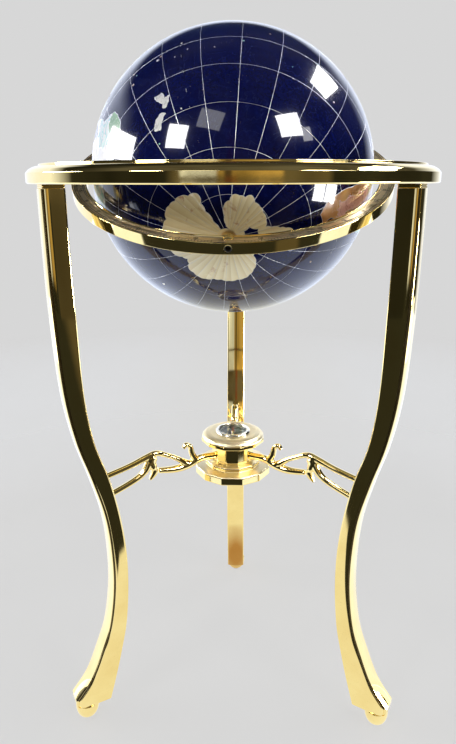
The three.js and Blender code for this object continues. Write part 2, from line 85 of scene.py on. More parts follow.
def make_camera():
    camera = bpy.data.objects.new("camera", bpy.data.cameras.new("camera"))
    bpy.context.scene.collection.objects.link(camera)
    camera.data.lens = CAMERA_LENS
    camera.data.sensor_width = 36
    camera.data.shift_y = CAMERA_SHIFT
    camera.data.clip_start = 0.02
    turn = Matrix.Rotation(CAMERA_YAW, 4, "Z") @ Matrix.Rotation(math.pi / 2 - CAMERA_PITCH, 4, "X")
    camera.matrix_world = Matrix.Translation(CAMERA_PLACE) @ turn @ Matrix.Rotation(-CAMERA_ROLL, 4, "Z")
    bpy.context.scene.camera = camera


make_camera()


# ---- materials -------------------------------------------------------------------------------------------
class Graph:
    """Short calls for the nodes of a material or of the world. place is where their pattern sits."""

    def __init__(self, tree, place):
        self.tree = tree
        self.nodes = tree.nodes
        self.place = self.nodes.new("ShaderNodeTexCoord").outputs[place]

    def link(self, source, target):
        self.tree.links.new(source, target)

    def give(self, socket, value):
        """Links an input to an output, or sets it to a plain value."""
        if isinstance(value, bpy.types.NodeSocket):
            self.link(value, socket)
        else:
            socket.default_value = value

    def add(self, kind, output, **inputs):
        """Adds a node, with its inputs by name, and returns one of its outputs."""
        node = self.nodes.new("ShaderNode" + kind)
        for name, value in inputs.items():
            self.give(node.inputs[name.replace("_", " ")], value)
        return node.outputs[output]

    def operate(self, kind, output, operation, values):
        node = self.nodes.new("ShaderNode" + kind)
        node.operation = operation
        for socket, value in zip(node.inputs, values):
            self.give(socket, value)
        return node.outputs[output]

    def math(self, operation, *values):
        return self.operate("Math", 0, operation, values)

    def vector(self, operation, *values):
        return self.operate("VectorMath", "Value", operation, values)

    def along(self, source=None):
        """The three parts of a vector."""
        node = self.nodes.new("ShaderNodeSeparateXYZ")
        self.link(source or self.place, node.inputs[0])
        return node.outputs

    def noise(self, scale, detail=4, roughness=0.5, distortion=0.0, place=None):
        return self.add("TexNoise", "Fac", Vector=place or self.place, Scale=scale, Detail=detail,
                        Roughness=roughness, Distortion=distortion)

    def cells(self, scale):
        return self.add("TexVoronoi", "Distance", Vector=self.place, Scale=scale)

    def bands(self, scale, distortion):
        return self.add("TexWave", "Fac", Vector=self.place, Scale=scale, Distortion=distortion, Detail=3,
                        Detail_Scale=1.5)

    def ramp(self, source, *stops):
        node = self.nodes.new("ShaderNodeValToRGB")
        points = node.color_ramp.elements
        while len(points) < len(stops):
            points.new(0.5)
        for point, (position, colour) in zip(points, stops):
            point.position = position
            point.color = colour if hasattr(colour, "__len__") else (colour, colour, colour, 1)
        self.link(source, node.inputs["Fac"])
        return node.outputs["Color"]

    def mix(self, amount, a, b, blend="MIX"):
        node = self.nodes.new("ShaderNodeMix")
        node.data_type = "RGBA"
        node.blend_type = blend
        colours = [socket for socket in node.inputs if socket.type == "RGBA"]
        for socket, value in zip([node.inputs[0]] + colours, (amount, a, b)):
            self.give(socket, value)
        return next(socket for socket in node.outputs if socket.type == "RGBA")


class Finish(Graph):
    """A material with one Principled shader."""

    def __init__(self, name, **sockets):
        self.material = bpy.data.materials.new(name)
        self.material.use_nodes = True
        super().__init__(self.material.node_tree, "Object")
        self.shader = self.nodes["Principled BSDF"]
        for socket, value in sockets.items():
            self.shader.inputs[socket.replace("_", " ")].default_value = value

    def feed(self, socket, source):
        self.link(source, self.shader.inputs[socket])

    def bump(self, height, strength, distance=0.0002):
        self.feed("Normal", self.add("Bump", "Normal", Strength=strength, Distance=distance, Height=height))


def rgb(red, green, blue):
    return (red, green, blue, 1.0)


def metal(name, bright, worn, roughness, bump=0.03):
    """Polished metal: soft clouding of colour and gloss, fine hairlines and a barely uneven surface."""
    finish = Finish(name, Metallic=1.0)
    cloud = finish.noise(22, 5, 0.6)
    spots = finish.ramp(finish.noise(420, 3, 0.7), (0.62, 0.0), (0.74, 1.0))
    colour = finish.ramp(cloud, (0.35, bright), (0.75, worn))
    darker = tuple(0.72 * value for value in worn[:3]) + (1.0,)
    finish.feed("Base Color", finish.mix(finish.math("MULTIPLY", spots, 0.25), colour, darker))
    stretched = finish.add("Mapping", "Vector", Vector=finish.place, Scale=(1, 14, 1))
    hairlines = finish.noise(60, 2, 0.5, place=stretched)
    smear = finish.math("ADD", finish.math("MULTIPLY", cloud, 0.6), finish.math("MULTIPLY", hairlines, 0.4))
    finish.feed("Roughness", finish.ramp(smear, (0.3, roughness * 0.7), (0.7, roughness * 1.6)))
    finish.bump(finish.noise(140, 3, 0.55), bump)
    return finish.material


def lapis_material():
    finish = Finish("lapis", Coat_Weight=1.0, Coat_Roughness=0.005, Coat_IOR=1.42, Specular_IOR_Level=0.05,
                    Sheen_Weight=0.10, Sheen_Roughness=0.28, Sheen_Tint=rgb(0.22, 0.42, 1.0))
    cloud = finish.noise(16, 6, 0.6, 0.4)
    grain = finish.noise(240, 4, 0.7)
    deep = finish.ramp(cloud, (0.3, rgb(0.0004, 0.0010, 0.026)), (0.7, rgb(0.0009, 0.0028, 0.050)))
    mottled = finish.mix(finish.ramp(grain, (0.45, 0.0), (0.75, 0.4)), deep, rgb(0.003, 0.010, 0.11))
    veins = finish.ramp(finish.noise(34, 5, 0.5, 1.2), (0.492, 0.0), (0.5, 0.16), (0.508, 0.0))
    veined = finish.mix(veins, mottled, rgb(0.06, 0.08, 0.20))
    flecks = finish.ramp(finish.cells(520), (0.05, 1.0), (0.10, 0.0))
    sparse = finish.math("MULTIPLY", flecks, finish.ramp(finish.noise(70, 2), (0.62, 0.0), (0.68, 1.0)))
    finish.feed("Base Color", finish.mix(sparse, veined, rgb(0.55, 0.42, 0.16)))
    finish.feed("Roughness", finish.ramp(cloud, (0.3, 0.10), (0.7, 0.2)))
    finish.bump(finish.noise(60, 3), 0.02)
    return finish.material


def polar_angle(finish):
    """The angle round the polar axis, in turns, in the ball's own frame."""
    level = TILTED.inverted()
    upright = finish.add("Mapping", "Vector", Vector=finish.place, Rotation=level.to_euler(),
                         Location=level.to_translation())
    x, y, _ = finish.along(upright)
    angle = finish.math("ARCTAN2", y, x)
    return finish.math("MULTIPLY", angle, 1 / math.tau)


def polished_stone(name):
    return Finish(name, Coat_Weight=1.0, Coat_Roughness=0.01, Coat_IOR=1.5, Specular_IOR_Level=0.2)


def shell_stone(name):
    """Cream shell cut in narrow wedges that fan out from the pole, with a few rusty veins."""
    finish = polished_stone(name)
    wedges = finish.math("MULTIPLY", polar_angle(finish), 40)
    shifted = finish.math("ADD", wedges, finish.math("MULTIPLY", finish.noise(9, 2), 0.5))
    sawtooth = finish.math("FRACT", shifted)
    cloud = finish.noise(30, 5, 0.6)
    fibres = finish.math("ADD", finish.math("MULTIPLY", sawtooth, 0.5), finish.math("MULTIPLY", cloud, 0.6))
    cream = finish.ramp(fibres, (0.2, rgb(0.67, 0.56, 0.33)), (0.5, rgb(0.77, 0.68, 0.45)),
                        (0.85, rgb(0.84, 0.77, 0.57)))
    seams = finish.ramp(sawtooth, (0.0, 1.0), (0.05, 0.0), (0.97, 0.0), (1.0, 1.0))
    seamed = finish.mix(finish.math("MULTIPLY", seams, 0.25), cream, rgb(0.47, 0.38, 0.20))
    rust = finish.ramp(finish.noise(60, 4, 0.6, 0.6), (0.61, 0.0), (0.68, 0.6))
    finish.feed("Base Color", finish.mix(rust, seamed, rgb(0.42, 0.16, 0.08)))
    finish.feed("Roughness", finish.ramp(cloud, (0.3, 0.15), (0.7, 0.32)))
    finish.bump(sawtooth, 0.05)
    return finish.material


def evenly(colours, start, end):
    """Stops of a ramp, spread evenly."""
    share = (end - start) / (len(colours) - 1)
    return [(start + share * step, rgb(*colour)) for step, colour in enumerate(colours)]


def banded_stone(name, colours, scale, swirl, patches):
    """Banded stone, such as malachite or agate, with patches that break the bands."""
    finish = polished_stone(name)
    bands = finish.bands(scale, swirl)
    cloud = finish.noise(scale * 1.6, 5, 0.62, 0.5)
    regular = finish.math("MULTIPLY", bands, 1 - patches)
    blend = finish.math("ADD", regular, finish.math("MULTIPLY", cloud, patches))
    body = finish.ramp(blend, *evenly(colours, 0.18, 0.82))
    speckle = finish.ramp(finish.noise(scale * 22, 3, 0.7), (0.55, 0.0), (0.8, 0.4))
    finish.feed("Base Color", finish.mix(speckle, body, rgb(*colours[0])))
    finish.feed("Roughness", finish.ramp(cloud, (0.3, 0.12), (0.7, 0.3)))
    finish.bump(blend, 0.04)
    return finish.material


def veined_stone(name, colours, vein, scale):
    """Mottled stone with thin branching veins, such as marble, howlite or jasper."""
    finish = polished_stone(name)
    cloud = finish.noise(scale, 6, 0.6, 0.8)
    body = finish.ramp(cloud, *evenly(colours, 0.3, 0.7))
    lines = finish.ramp(finish.noise(scale * 1.4, 5, 0.55, 1.4), (0.485, 0.0), (0.5, 0.8), (0.515, 0.0))
    patches = finish.ramp(finish.cells(scale * 2.4), (0.15, 0.35), (0.4, 0.0))
    patched = finish.mix(patches, body, rgb(*colours[-1]))
    finish.feed("Base Color", finish.mix(lines, patched, rgb(*vein)))
    finish.feed("Roughness", finish.ramp(cloud, (0.3, 0.12), (0.7, 0.3)))
    finish.bump(cloud, 0.04)
    return finish.material


def matt(name, light, dark, scale, roughness, bump, distance=0.0004):
    """A plain moulded or felted surface with a fine grain."""
    finish = Finish(name)
    grain = finish.noise(scale, 5, 0.7)
    finish.feed("Base Color", finish.ramp(grain, (0.35, light), (0.7, dark)))
    finish.feed("Roughness", finish.ramp(grain, (0.3, roughness * 0.85), (0.7, min(1.0, roughness * 1.15))))
    finish.bump(grain, bump, distance)
    return finish.material


def glass_material():
    finish = Finish("clear_glass", IOR=1.12, Transmission_Weight=1.0)
    smears = finish.noise(90, 3)
    finish.feed("Roughness", finish.ramp(smears, (0.4, 0.01), (0.8, 0.05)))
    finish.feed("Base Color", finish.ramp(smears, (0.3, rgb(0.98, 1.0, 1.0)), (0.7, rgb(0.93, 0.96, 0.96))))
    return finish.material


BRASS = metal("polished_brass", rgb(0.95, 0.78, 0.37), rgb(0.88, 0.68, 0.29), 0.045)
BRASS_SATIN = metal("satin_brass", rgb(0.90, 0.74, 0.46), rgb(0.80, 0.63, 0.37), 0.30, 0.10)
# Pale rough brass that paints light on the hub's upward faces.
BRASS_PALE_LIT = metal("pale_brass_painted_highlight", rgb(0.96, 0.84, 0.56), rgb(0.90, 0.76, 0.46), 0.30, 0.05)
# Dark brass for the grooves along the legs' outward edges: painted shade in the groove.
BRASS_GROOVE_SHADE = metal("brass_painted_groove_shade", rgb(0.17, 0.13, 0.06), rgb(0.10, 0.075, 0.03), 0.35)
STEEL = metal("screw_steel", rgb(0.72, 0.72, 0.73), rgb(0.58, 0.58, 0.60), 0.14)
SILVER = metal("silvered_metal", rgb(0.96, 0.94, 0.85), rgb(0.90, 0.87, 0.76), 0.16)
WIRE = metal("inlay_wire", rgb(0.62, 0.64, 0.70), rgb(0.50, 0.52, 0.58), 0.42)
NYLON = matt("pivot_nylon", rgb(0.80, 0.77, 0.66), rgb(0.70, 0.67, 0.56), 160, 0.5, 0.15)
FELT = matt("foot_felt", rgb(0.06, 0.035, 0.02), rgb(0.025, 0.016, 0.01), 900, 0.95, 0.8)
# Dark ink for printed marks; inside the pole screws' sockets it is painted shade.
INK_AND_SHADE = matt("scale_ink_and_painted_shade", rgb(0.035, 0.028, 0.018), rgb(0.015, 0.012, 0.008), 600, 0.55, 0.2)
DIAL = matt("dial_grey", rgb(0.13, 0.14, 0.13), rgb(0.09, 0.10, 0.095), 500, 0.4, 0.1)
NEEDLE_RED = matt("needle_red", rgb(0.30, 0.03, 0.02), rgb(0.22, 0.02, 0.015), 300, 0.3, 0.05)
GLASS = glass_material()
LAPIS = lapis_material()
# Name of the material, colours, colour of the veins, scale.
VEINED = {
    "marble": ("white_marble", [(0.62, 0.63, 0.65), (0.78, 0.78, 0.80)], (0.36, 0.37, 0.40), 24),
    "howlite": ("howlite", [(0.70, 0.66, 0.58), (0.82, 0.79, 0.72)], (0.25, 0.22, 0.20), 40),
    "jasper": ("jasper", [(0.40, 0.17, 0.06), (0.58, 0.30, 0.13), (0.46, 0.28, 0.12)], (0.62, 0.42, 0.26),
               16),
    "carnelian": ("carnelian", [(0.30, 0.05, 0.02), (0.46, 0.12, 0.04)], (0.60, 0.30, 0.14), 22),
    "rose": ("rose_stone", [(0.56, 0.24, 0.24), (0.70, 0.42, 0.38)], (0.30, 0.10, 0.10), 26),
    "jade": ("jade", [(0.07, 0.19, 0.09), (0.19, 0.36, 0.19)], (0.34, 0.48, 0.32), 28),
    "amazonite": ("amazonite", [(0.12, 0.36, 0.34), (0.30, 0.55, 0.50)], (0.62, 0.72, 0.66), 34),
}
# Name of the material, colours, scale, swirl, share of the patches that break the bands.
BANDED = {
    "malachite": ("malachite", [(0.05, 0.30, 0.15), (0.01, 0.12, 0.06), (0.09, 0.38, 0.22)], 26, 14, 0.35),
    "tiger": ("tiger_eye", [(0.50, 0.27, 0.06), (0.14, 0.06, 0.02), (0.36, 0.18, 0.05)], 38, 6, 0.35),
    "agate": ("agate", [(0.58, 0.46, 0.34), (0.34, 0.22, 0.15), (0.66, 0.58, 0.48)], 22, 9, 0.35),
    "abalone": ("abalone", [(0.70, 0.74, 0.68), (0.14, 0.42, 0.44), (0.62, 0.52, 0.56), (0.28, 0.60, 0.55)],
                30, 20, 0.6),
}
STONES = {"shell": shell_stone("cream_shell")}
STONES.update((stone, veined_stone(*row)) for stone, row in VEINED.items())
STONES.update((stone, banded_stone(*row)) for stone, row in BANDED.items())


# ---- mesh helpers ----------------------------------------------------------------------------------------
def new_object(name, data):
    """An object in the scene."""
    made = bpy.data.objects.new(name, data)
    bpy.context.scene.collection.objects.link(made)
    return made


def plain_mesh(name, points, faces):
    """A mesh from points in millimetres."""
    mesh = bpy.data.meshes.new(name)
    mesh.from_pydata([Vector(p) * MM for p in points], [], faces)
    return mesh


def solid_mesh(name, points, faces):
    """A mesh from points in millimetres, with its faces turned outward."""
    mesh = plain_mesh(name, points, faces)
    work = bmesh.new()
    work.from_mesh(mesh)
    bmesh.ops.recalc_face_normals(work, faces=work.faces)
    work.to_mesh(mesh)
    work.free()
    return mesh


def shade(mesh, sharp):
    """Smooth shading, with edges sharp past an angle."""
    mesh.shade_smooth()
    mesh.set_sharp_from_angle(angle=math.radians(sharp))


def piece(name, points, faces, finish, body, matrix=None, replaced=(), slot=None, sharp=35):
    """A named piece of the object, from points in millimetres."""
    mesh = solid_mesh(name, points, faces)
    shade(mesh, sharp)
    return install(new_object(name, mesh), finish, body, matrix, replaced)


def install(thing, finish, body, matrix=None, replaced=()):
    """Gives an object its material and that material's slot, its place and the body it rides on."""
    thing.data.materials.clear()
    thing.data.materials.append(finish)
    if matrix is not None:
        thing.data.transform(matrix)
    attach(thing, body)
    if replaced:
        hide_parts(*replaced)
    return thing


def apply_modifiers(thing, sharp=35):
    graph = bpy.context.evaluated_depsgraph_get()
    made = bpy.data.meshes.new_from_object(thing.evaluated_get(graph))
    thing.modifiers.clear()
    thing.data = made
    shade(made, sharp)


def cut(thing, *tools):
    """Subtracts scratch objects from a piece, then deletes them."""
    for cutter in tools:
        change = thing.modifiers.new("cut", "BOOLEAN")
        change.object = cutter
        change.solver = "EXACT"
    bpy.context.view_layer.update()
    apply_modifiers(thing)
    for cutter in tools:
        bpy.data.objects.remove(cutter)


def rounded(profile, close):
    """Corners given as (x, y, fillet) become short curves, with a hold point on each straight by them."""
    made = []
    count = len(profile)
    for index, corner in enumerate(profile):
        here = Vector(corner[:2])
        fillet = corner[2] if len(corner) > 2 else 0
        if not fillet or (not close and index in (0, count - 1)):
            made.append(here)
            continue
        back = Vector(profile[index - 1][:2]) - here
        ahead = Vector(profile[(index + 1) % count][:2]) - here
        turn = math.pi - back.angle(ahead)
        reach = min(fillet * math.tan(turn / 2), 0.45 * back.length, 0.45 * ahead.length)
        hold = min(0.3, 0.3 * reach + 0.05)
        start, end = here + back.normalized() * reach, here + ahead.normalized() * reach
        steps = max(2, round(math.degrees(turn) / 18))
        if back.length > 3 * reach:
            made.append(here + back.normalized() * (reach + hold))
        for step in range(steps + 1):
            t = step / steps
            made.append(start * (1 - t) ** 2 + here * 2 * t * (1 - t) + end * t ** 2)
        if ahead.length > 3 * reach:
            made.append(here + ahead.normalized() * (reach + hold))
    return made


def turned_mesh(profile, segments, start=0.0, wave=None):
    """Points and faces of a profile of (radius, height[, fillet]) turned about Z.

    The profile starts and ends on the axis or closes on itself. wave(angle, radius) may change the radius, as
    on a knurl.
    """
    on_axis = profile[0][0] == 0 and profile[-1][0] == 0
    outline = rounded(profile, not on_axis)
    points, rows, faces = [], [], []
    for radius, height in outline:
        if radius < 1e-6:
            rows.append([len(points)] * segments)
            points.append((0, 0, height))
            continue
        rows.append(list(range(len(points), len(points) + segments)))
        for step in range(segments):
            angle = start + math.tau * step / segments
            r = wave(angle, radius) if wave else radius
            points.append((r * math.cos(angle), r * math.sin(angle), height))
    pairs = list(zip(rows, rows[1:])) + ([] if on_axis else [(rows[-1], rows[0])])
    for low, high in pairs:
        for step in range(segments):
            after = (step + 1) % segments
            face = [low[step], low[after], high[after], high[step]]
            faces.append([p for i, p in enumerate(face) if p != face[i - 1]])
    return points, faces


def turned(name, profile, finish, body, segments=96, start=0.0, wave=None, **placed):
    return piece(name, *turned_mesh(profile, segments, start, wave), finish, body, **placed)


def tool(profile, matrix, segments=48):
    """A scratch solid for cutting."""
    made = new_object("tool", solid_mesh("tool", *turned_mesh(profile, segments)))
    made.matrix_world = matrix
    return made


def rod(radius, bottom, top):
    return [(0, bottom), (radius, bottom), (radius, top), (0, top)]


def along_x(angle=0.0):
    """Lays a piece made about Z along X, turned about Z by an angle."""
    return Matrix.Rotation(angle, 4, "Z") @ Matrix.Rotation(math.pi / 2, 4, "Y")


def wall(here, there, size):
    """The faces between two rings of as many points, each ring given by the number of its first point."""
    return [[here + i, here + (i + 1) % size, there + (i + 1) % size, there + i] for i in range(size)]


def skin(rings, first=0):
    """Points and faces of a closed skin through rings of points, with flat ends."""
    size = len(rings[0])
    last = first + (len(rings) - 1) * size
    faces = [face for start in range(first, last, size) for face in wall(start, start + size, size)]
    faces += [list(range(first + size - 1, first - 1, -1)), list(range(last, last + size))]
    return [point for ring in rings for point in ring], faces


def loft(name, rings, finish, body, **placed):
    return piece(name, *skin(rings), finish, body, **placed)


def curve_at(points, t):
    """A smooth curve through points, t from 0 to their count less one."""
    last = len(points) - 1
    index = min(int(t), last - 1)
    u = t - index
    chosen = [points[max(index - 1, 0)], points[index], points[index + 1], points[min(index + 2, last)]]
    made = []
    for a, b, c, d in zip(*chosen):
        made.append(0.5 * (2 * b + (c - a) * u + (2 * a - 5 * b + 4 * c - d) * u * u
                           + (3 * b - a - 3 * c + d) * u ** 3))
    return made


# ---- horizon ring ----------------------------------------------------------------------------------------
RING_INNER = 201
RING_HALF = 10.5


def horizon_ring():
    bead = RING_R - 14.3
    profile = [
        (RING_INNER, -RING_HALF, 0.8), (RING_R - 1.6, -RING_HALF, 0.6), (RING_R, -9.2, 0.7),
        (RING_R, 0.9, 0.5), (RING_R - 3.2, 4.6, 8), (RING_R - 8.4, 7.4, 8),
        (bead, 8.6, 0.5), (bead, RING_HALF, 1.1), (RING_INNER + 2, RING_HALF, 0.8),
        (RING_INNER, RING_HALF - 2, 0.8),
    ]
    ring = turned("horizon_ring_turned", profile, BRASS, "stand", 256, matrix=HINGE_LEVEL,
                  replaced=["horizon_ring"], sharp=30)
    seats = [tool(rod(6.8, RING_INNER - 5, 214), HINGE_LEVEL @ along_x(side)) for side in SIDES.values()]
    cut(ring, *seats)


def pivots():
    for side, turn in SIDES.items():
        bush = [(3.3, 201, 0.2), (6.5, 201, 0.5), (6.5, 213.5), (3.3, 213.5)]
        turned(f"pivot_bush_turned_{side}", bush, NYLON, "stand", 64, matrix=HINGE_LEVEL @ along_x(turn),
               replaced=[f"pivot_bush_{side}"])
        spacer = [(3.3, 188.8), (5.4, 188.8, 0.3), (6, 189.4, 0.4), (6, 192.8, 0.3), (5.2, 193.4, 0.5),
                  (5.2, 195.6, 0.5), (6, 196.2, 0.3), (6, 199.6, 0.4), (5.4, 200.2, 0.3), (3.3, 200.2)]
        turned(f"pivot_spacer_turned_{side}", spacer, BRASS, "gimbal", 64, matrix=TILTED @ along_x(turn),
               replaced=[f"pivot_spacer_{side}"])
        screw = [(0, 173.2), (1.2, 173.2), (1.2, 172.2, 0.2), (4.4, 172.2, 0.6), (5, 173, 0.4),
                 (5, 175.4, 0.2), (3, 175.4), (3, 210), (2, 211), (0, 211)]
        turned(f"pivot_screw_turned_{side}", screw, STEEL, "gimbal", 64, matrix=TILTED @ along_x(turn),
               replaced=[f"pivot_screw_{side}"])


# ---- legs ------------------------------------------------------------------------------------------------
# Both edges of the leg as [distance from the axis, height], from top to foot, paired point by point.
LEG_OUTWARD = [
    (228.5, LEG_TOP), (227.5, 600), (225.5, 530), (219.5, 440), (208.5, 378), (193.5, 328), (180.5, 278),
    (175, 228), (175, 178), (182, 128), (194, 93), (209.5, 58), (229, 34),
]
LEG_INWARD = [
    (202.5, LEG_TOP), (201.5, 600), (199.5, 530), (196, 440), (187.5, 378), (172, 328), (161, 278),
    (155, 228), (154.5, 178), (158.5, 128), (165.5, 93), (174, 58), (184, FOOT_UNDERSIDE),
]
TOE_ROUND = 7
LEG_CORNER = 3
# The long outward edge, from the side face to the outward face: a pillowed shoulder, then a groove.
LEG_SHOULDER = [(9, 0), (7, 0.15), (5.2, 0.5), (3.8, 1.1), (3.2, 1.5), (2.9, 3.0), (1.3, 3.2), (0.8, 2.3),
                (0.3, 2.6), (0, 3.2)]
LEG_GROOVE = range(4, 7)  # which stretches of the shoulder are the groove


def leg_section(outward, inward, inset=0.0):
    """A rectangle with shaped edges between two points of the radial plane, as wide as the leg."""
    depth = math.dist(outward, inward)
    half = LEG_WIDTH / 2 - inset
    shoulder = [(depth - inset - down, half - across) for down, across in LEG_SHOULDER]
    crown = [(0.75, 9), (0.3, 6), (0.07, 3)]
    corners = [(inset + 1.2, -half, LEG_CORNER)] + [(along, -across) for along, across in shoulder]
    corners += shoulder[::-1] + [(inset + 1.2, half, LEG_CORNER)]
    corners += [(inset + back, across) for back, across in crown] + [(inset, 0)]
    section = rounded(corners + [(inset + back, -across) for back, across in crown[::-1]], True)
    out, up = ((o - i) / depth for o, i in zip(outward, inward))
    return [(inward[0] + out * along, across, inward[1] + up * along) for along, across in section]


def leg_rings():
    """Sections from the top round the toe to the flat underside of the foot."""
    steps = 6
    rings = []
    for step in range(steps * (len(LEG_OUTWARD) - 1) + 1):
        rings.append(leg_section(curve_at(LEG_OUTWARD, step / steps), curve_at(LEG_INWARD, step / steps)))
    front, heel = LEG_OUTWARD[-1][0], LEG_INWARD[-1]
    for step in range(steps + 1):
        t = step / steps
        out = front - TOE_ROUND * t * t
        up = FOOT_UNDERSIDE + TOE_ROUND * (1 - t) ** 2
        rings.append(leg_section((out, up), (heel[0], heel[1] + 0.4 * (1 - t)), 0.3 * t))
    return rings


def foot_glide(side, matrix):
    top = FOOT_UNDERSIDE - 0.3
    under_foot = matrix @ Matrix.Translation((213.3 * MM, 0, 0))
    profile = [(0, 1.8), (6.5, 1.8)]
    steps = 14
    for step in range(1, steps + 1):
        angle = math.pi / 2 * step / steps
        profile.append((6.5 + 8 * math.sin(angle), 17 - 15.2 * math.cos(angle)))
    stud_top = FOOT_UNDERSIDE + 14
    profile += [(14.5, top - 1), (14.2, top - 0.3), (13.5, top), (4, top), (4, stud_top), (0, stud_top)]
    turned(f"foot_glide_turned_{side}", profile, BRASS, "stand", 72, matrix=under_foot,
           replaced=[f"foot_glide_{side}"])
    pad = [(0, 0), (6, 0, 0.4), (6, 1.5, 0.5), (0, 1.5)]
    turned(f"foot_pad_pressed_{side}", pad, FELT, "stand", 48, matrix=under_foot,
           replaced=[f"foot_pad_{side}"])


def leg_collar(side, matrix):
    """The thin moulded block between a leg and the ring."""
    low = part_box("leg_collar_back")[0].z / MM
    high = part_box("leg_collar_back")[1].z / MM
    levels = [(low - 0.25, 0.5), (low + 0.2, 0.1), (low + 0.7, 0), (low + 1.6, 0), (low + 2.0, 0.5),
              (low + 2.3, 0.5), (low + 2.7, 0), (high - 0.7, 0), (high - 0.25, 0.2), (high, 0.7)]
    rings = []
    for height, inset in levels:
        x, y = 12 - inset, 12.5 - inset
        corners = [(-x, -y, 1.5), (x, -y, 1.5), (x, y, 1.5), (-x, y, 1.5)]
        rings.append([(215.5 + a, b, height) for a, b in rounded(corners, True)])
    loft(f"leg_collar_moulded_{side}", rings, BRASS, "stand", matrix=matrix, replaced=[f"leg_collar_{side}"])


def legs():
    for side, angle in LEG_ANGLES.items():
        matrix = Matrix.Rotation(math.radians(angle), 4, "Z")
        rings = leg_rings()
        cast = loft(f"leg_cast_{side}", rings, BRASS, "stand", matrix=matrix, replaced=[f"leg_{side}"])
        # The groove's faces take the dark brass: painted shade along the groove.
        cast.data.materials.append(BRASS_GROOVE_SHADE)
        size, toe = len(rings[0]), len(rings) - 8
        crown = 7  # points of the inward face, which end each ring
        start = (size - crown) // 2 - len(LEG_SHOULDER)
        for face in cast.data.polygons[:-2]:
            ring, place = divmod(face.index, size)
            place = min(place, size - crown - 2 - place) - start
            face.material_index = int(place in LEG_GROOVE and ring < toe)
        foot_glide(side, matrix)
        leg_collar(side, matrix)


# ---- stretcher arms --------------------------------------------------------------------------------------
# Bars as a smooth curve of (distance from the axis, height, width).
ARM_BARS = {
    "stem": [(26.9, 320.7, 7), (48, 321.5, 7), (66, 315.8, 8), (84, 314.2, 7), (106, 317.4, 5)],
    "hook": [(54, 319.5, 8), (59.5, 329.5, 6.5), (62.5, 340.5, 5), (68, 343.8, 4), (71.8, 339.6, 2.6)],
    "upper_rail": [(66, 317, 9), (80, 327.5, 5), (93, 334.8, 4.6), (108, 341, 5.5), (122, 338, 6),
                   (144, 331.5, 5), (174, 325, 5)],
    "web": [(113, 338, 11), (116, 331, 13), (112.5, 322, 7), (112, 316, 7), (117.8, 307.6, 1.6)],
    "lower_rail": [(118, 331, 9), (123.5, 321.5, 7), (133, 314, 5.5), (148, 307.5, 5), (167, 301, 5)],
}
ARM_THICK = 9
ARM_GROWTH = 1.5  # makes up for what the smoothing takes off
ARM_VOXEL = 0.55 * MM


def bar_rings(points):
    """Oval sections along a bar, thinner where the bar is narrow, closing to a blunt tip."""
    rings = []
    steps = 8 * (len(points) - 1)
    sides = 20
    for step in range(steps + 1):
        t = (len(points) - 1) * step / steps
        out, up, width = curve_at(points, t)
        ahead = curve_at(points, min(t + 0.02, len(points) - 1))
        behind = curve_at(points, max(t - 0.02, 0))
        run = Vector((ahead[0] - behind[0], ahead[1] - behind[1])).normalized()
        width += ARM_GROWTH
        thick = min(ARM_THICK + ARM_GROWTH, 3.2 + 0.8 * width)
        ring = []
        for side in range(sides):
            angle = math.tau * side / sides
            along = math.copysign(abs(math.cos(angle)) ** 0.8, math.cos(angle)) * width / 2
            across = math.copysign(abs(math.sin(angle)) ** 0.8, math.sin(angle)) * thick / 2
            ring.append((out + run.y * along, across, up - run.x * along))
        rings.append(ring)
    return rings


def arm_mesh():
    """The bars of one arm fused and smoothed into a single casting."""
    points, faces = [], []
    for bar in ARM_BARS.values():
        bar_points, bar_faces = skin(bar_rings(bar), len(points))
        points += bar_points
        faces += bar_faces
    arm = new_object("arm", plain_mesh("arm", points, faces))
    fuse = arm.modifiers.new("fuse", "REMESH")
    fuse.mode = "VOXEL"
    fuse.voxel_size = ARM_VOXEL
    ease = arm.modifiers.new("ease", "SMOOTH")
    ease.iterations = 8
    ease.factor = 0.5
    bpy.context.view_layer.update()
    apply_modifiers(arm, 50)
    made = arm.data
    bpy.data.objects.remove(arm)
    trim_at_leg(made)
    return made


def trim_at_leg(mesh):
    """Cuts the rails off flush with the leg's inward face, which is straight where they meet it."""
    upper, lower = Vector(LEG_INWARD[5]), Vector(LEG_INWARD[6])
    along = (upper - lower).normalized()
    work = bmesh.new()
    work.from_mesh(mesh)
    everything = work.verts[:] + work.edges[:] + work.faces[:]
    normal = Vector((along.y, 0, -along.x))
    point = Vector((upper.x - 0.1, 0, upper.y)) * MM
    made = bmesh.ops.bisect_plane(work, geom=everything, plane_co=point, plane_no=normal, clear_outer=True)
    bmesh.ops.holes_fill(work, edges=[e for e in made["geom_cut"] if isinstance(e, bmesh.types.BMEdge)])
    work.to_mesh(mesh)
    work.free()
    mesh.set_sharp_from_angle(angle=math.radians(50))


def stretcher_arms():
    mesh = arm_mesh()
    for side, angle in LEG_ANGLES.items():
        arm = new_object(f"stretcher_arm_cast_{side}", mesh.copy())
        install(arm, BRASS, "stand", Matrix.Rotation(math.radians(angle), 4, "Z"), [f"stretcher_arm_{side}"])


# ---- hub -------------------------------------------------------------------------------------------------
HUB_SIDES = 12
HUB_TURN = math.pi / HUB_SIDES


def hub_block(name, profile, node):
    """A twelve-sided block of the hub."""
    return turned(name, profile, BRASS, "stand", HUB_SIDES, HUB_TURN, replaced=[node], sharp=12)


def soften(block, width=0.5):
    """Rounds off the edges of a block."""
    bevel = block.modifiers.new("soften", "BEVEL")
    bevel.width = width * MM
    bevel.segments = 3
    bevel.limit_method = "ANGLE"
    bevel.angle_limit = math.radians(14)
    bevel.harden_normals = True
    bevel.use_clamp_overlap = True


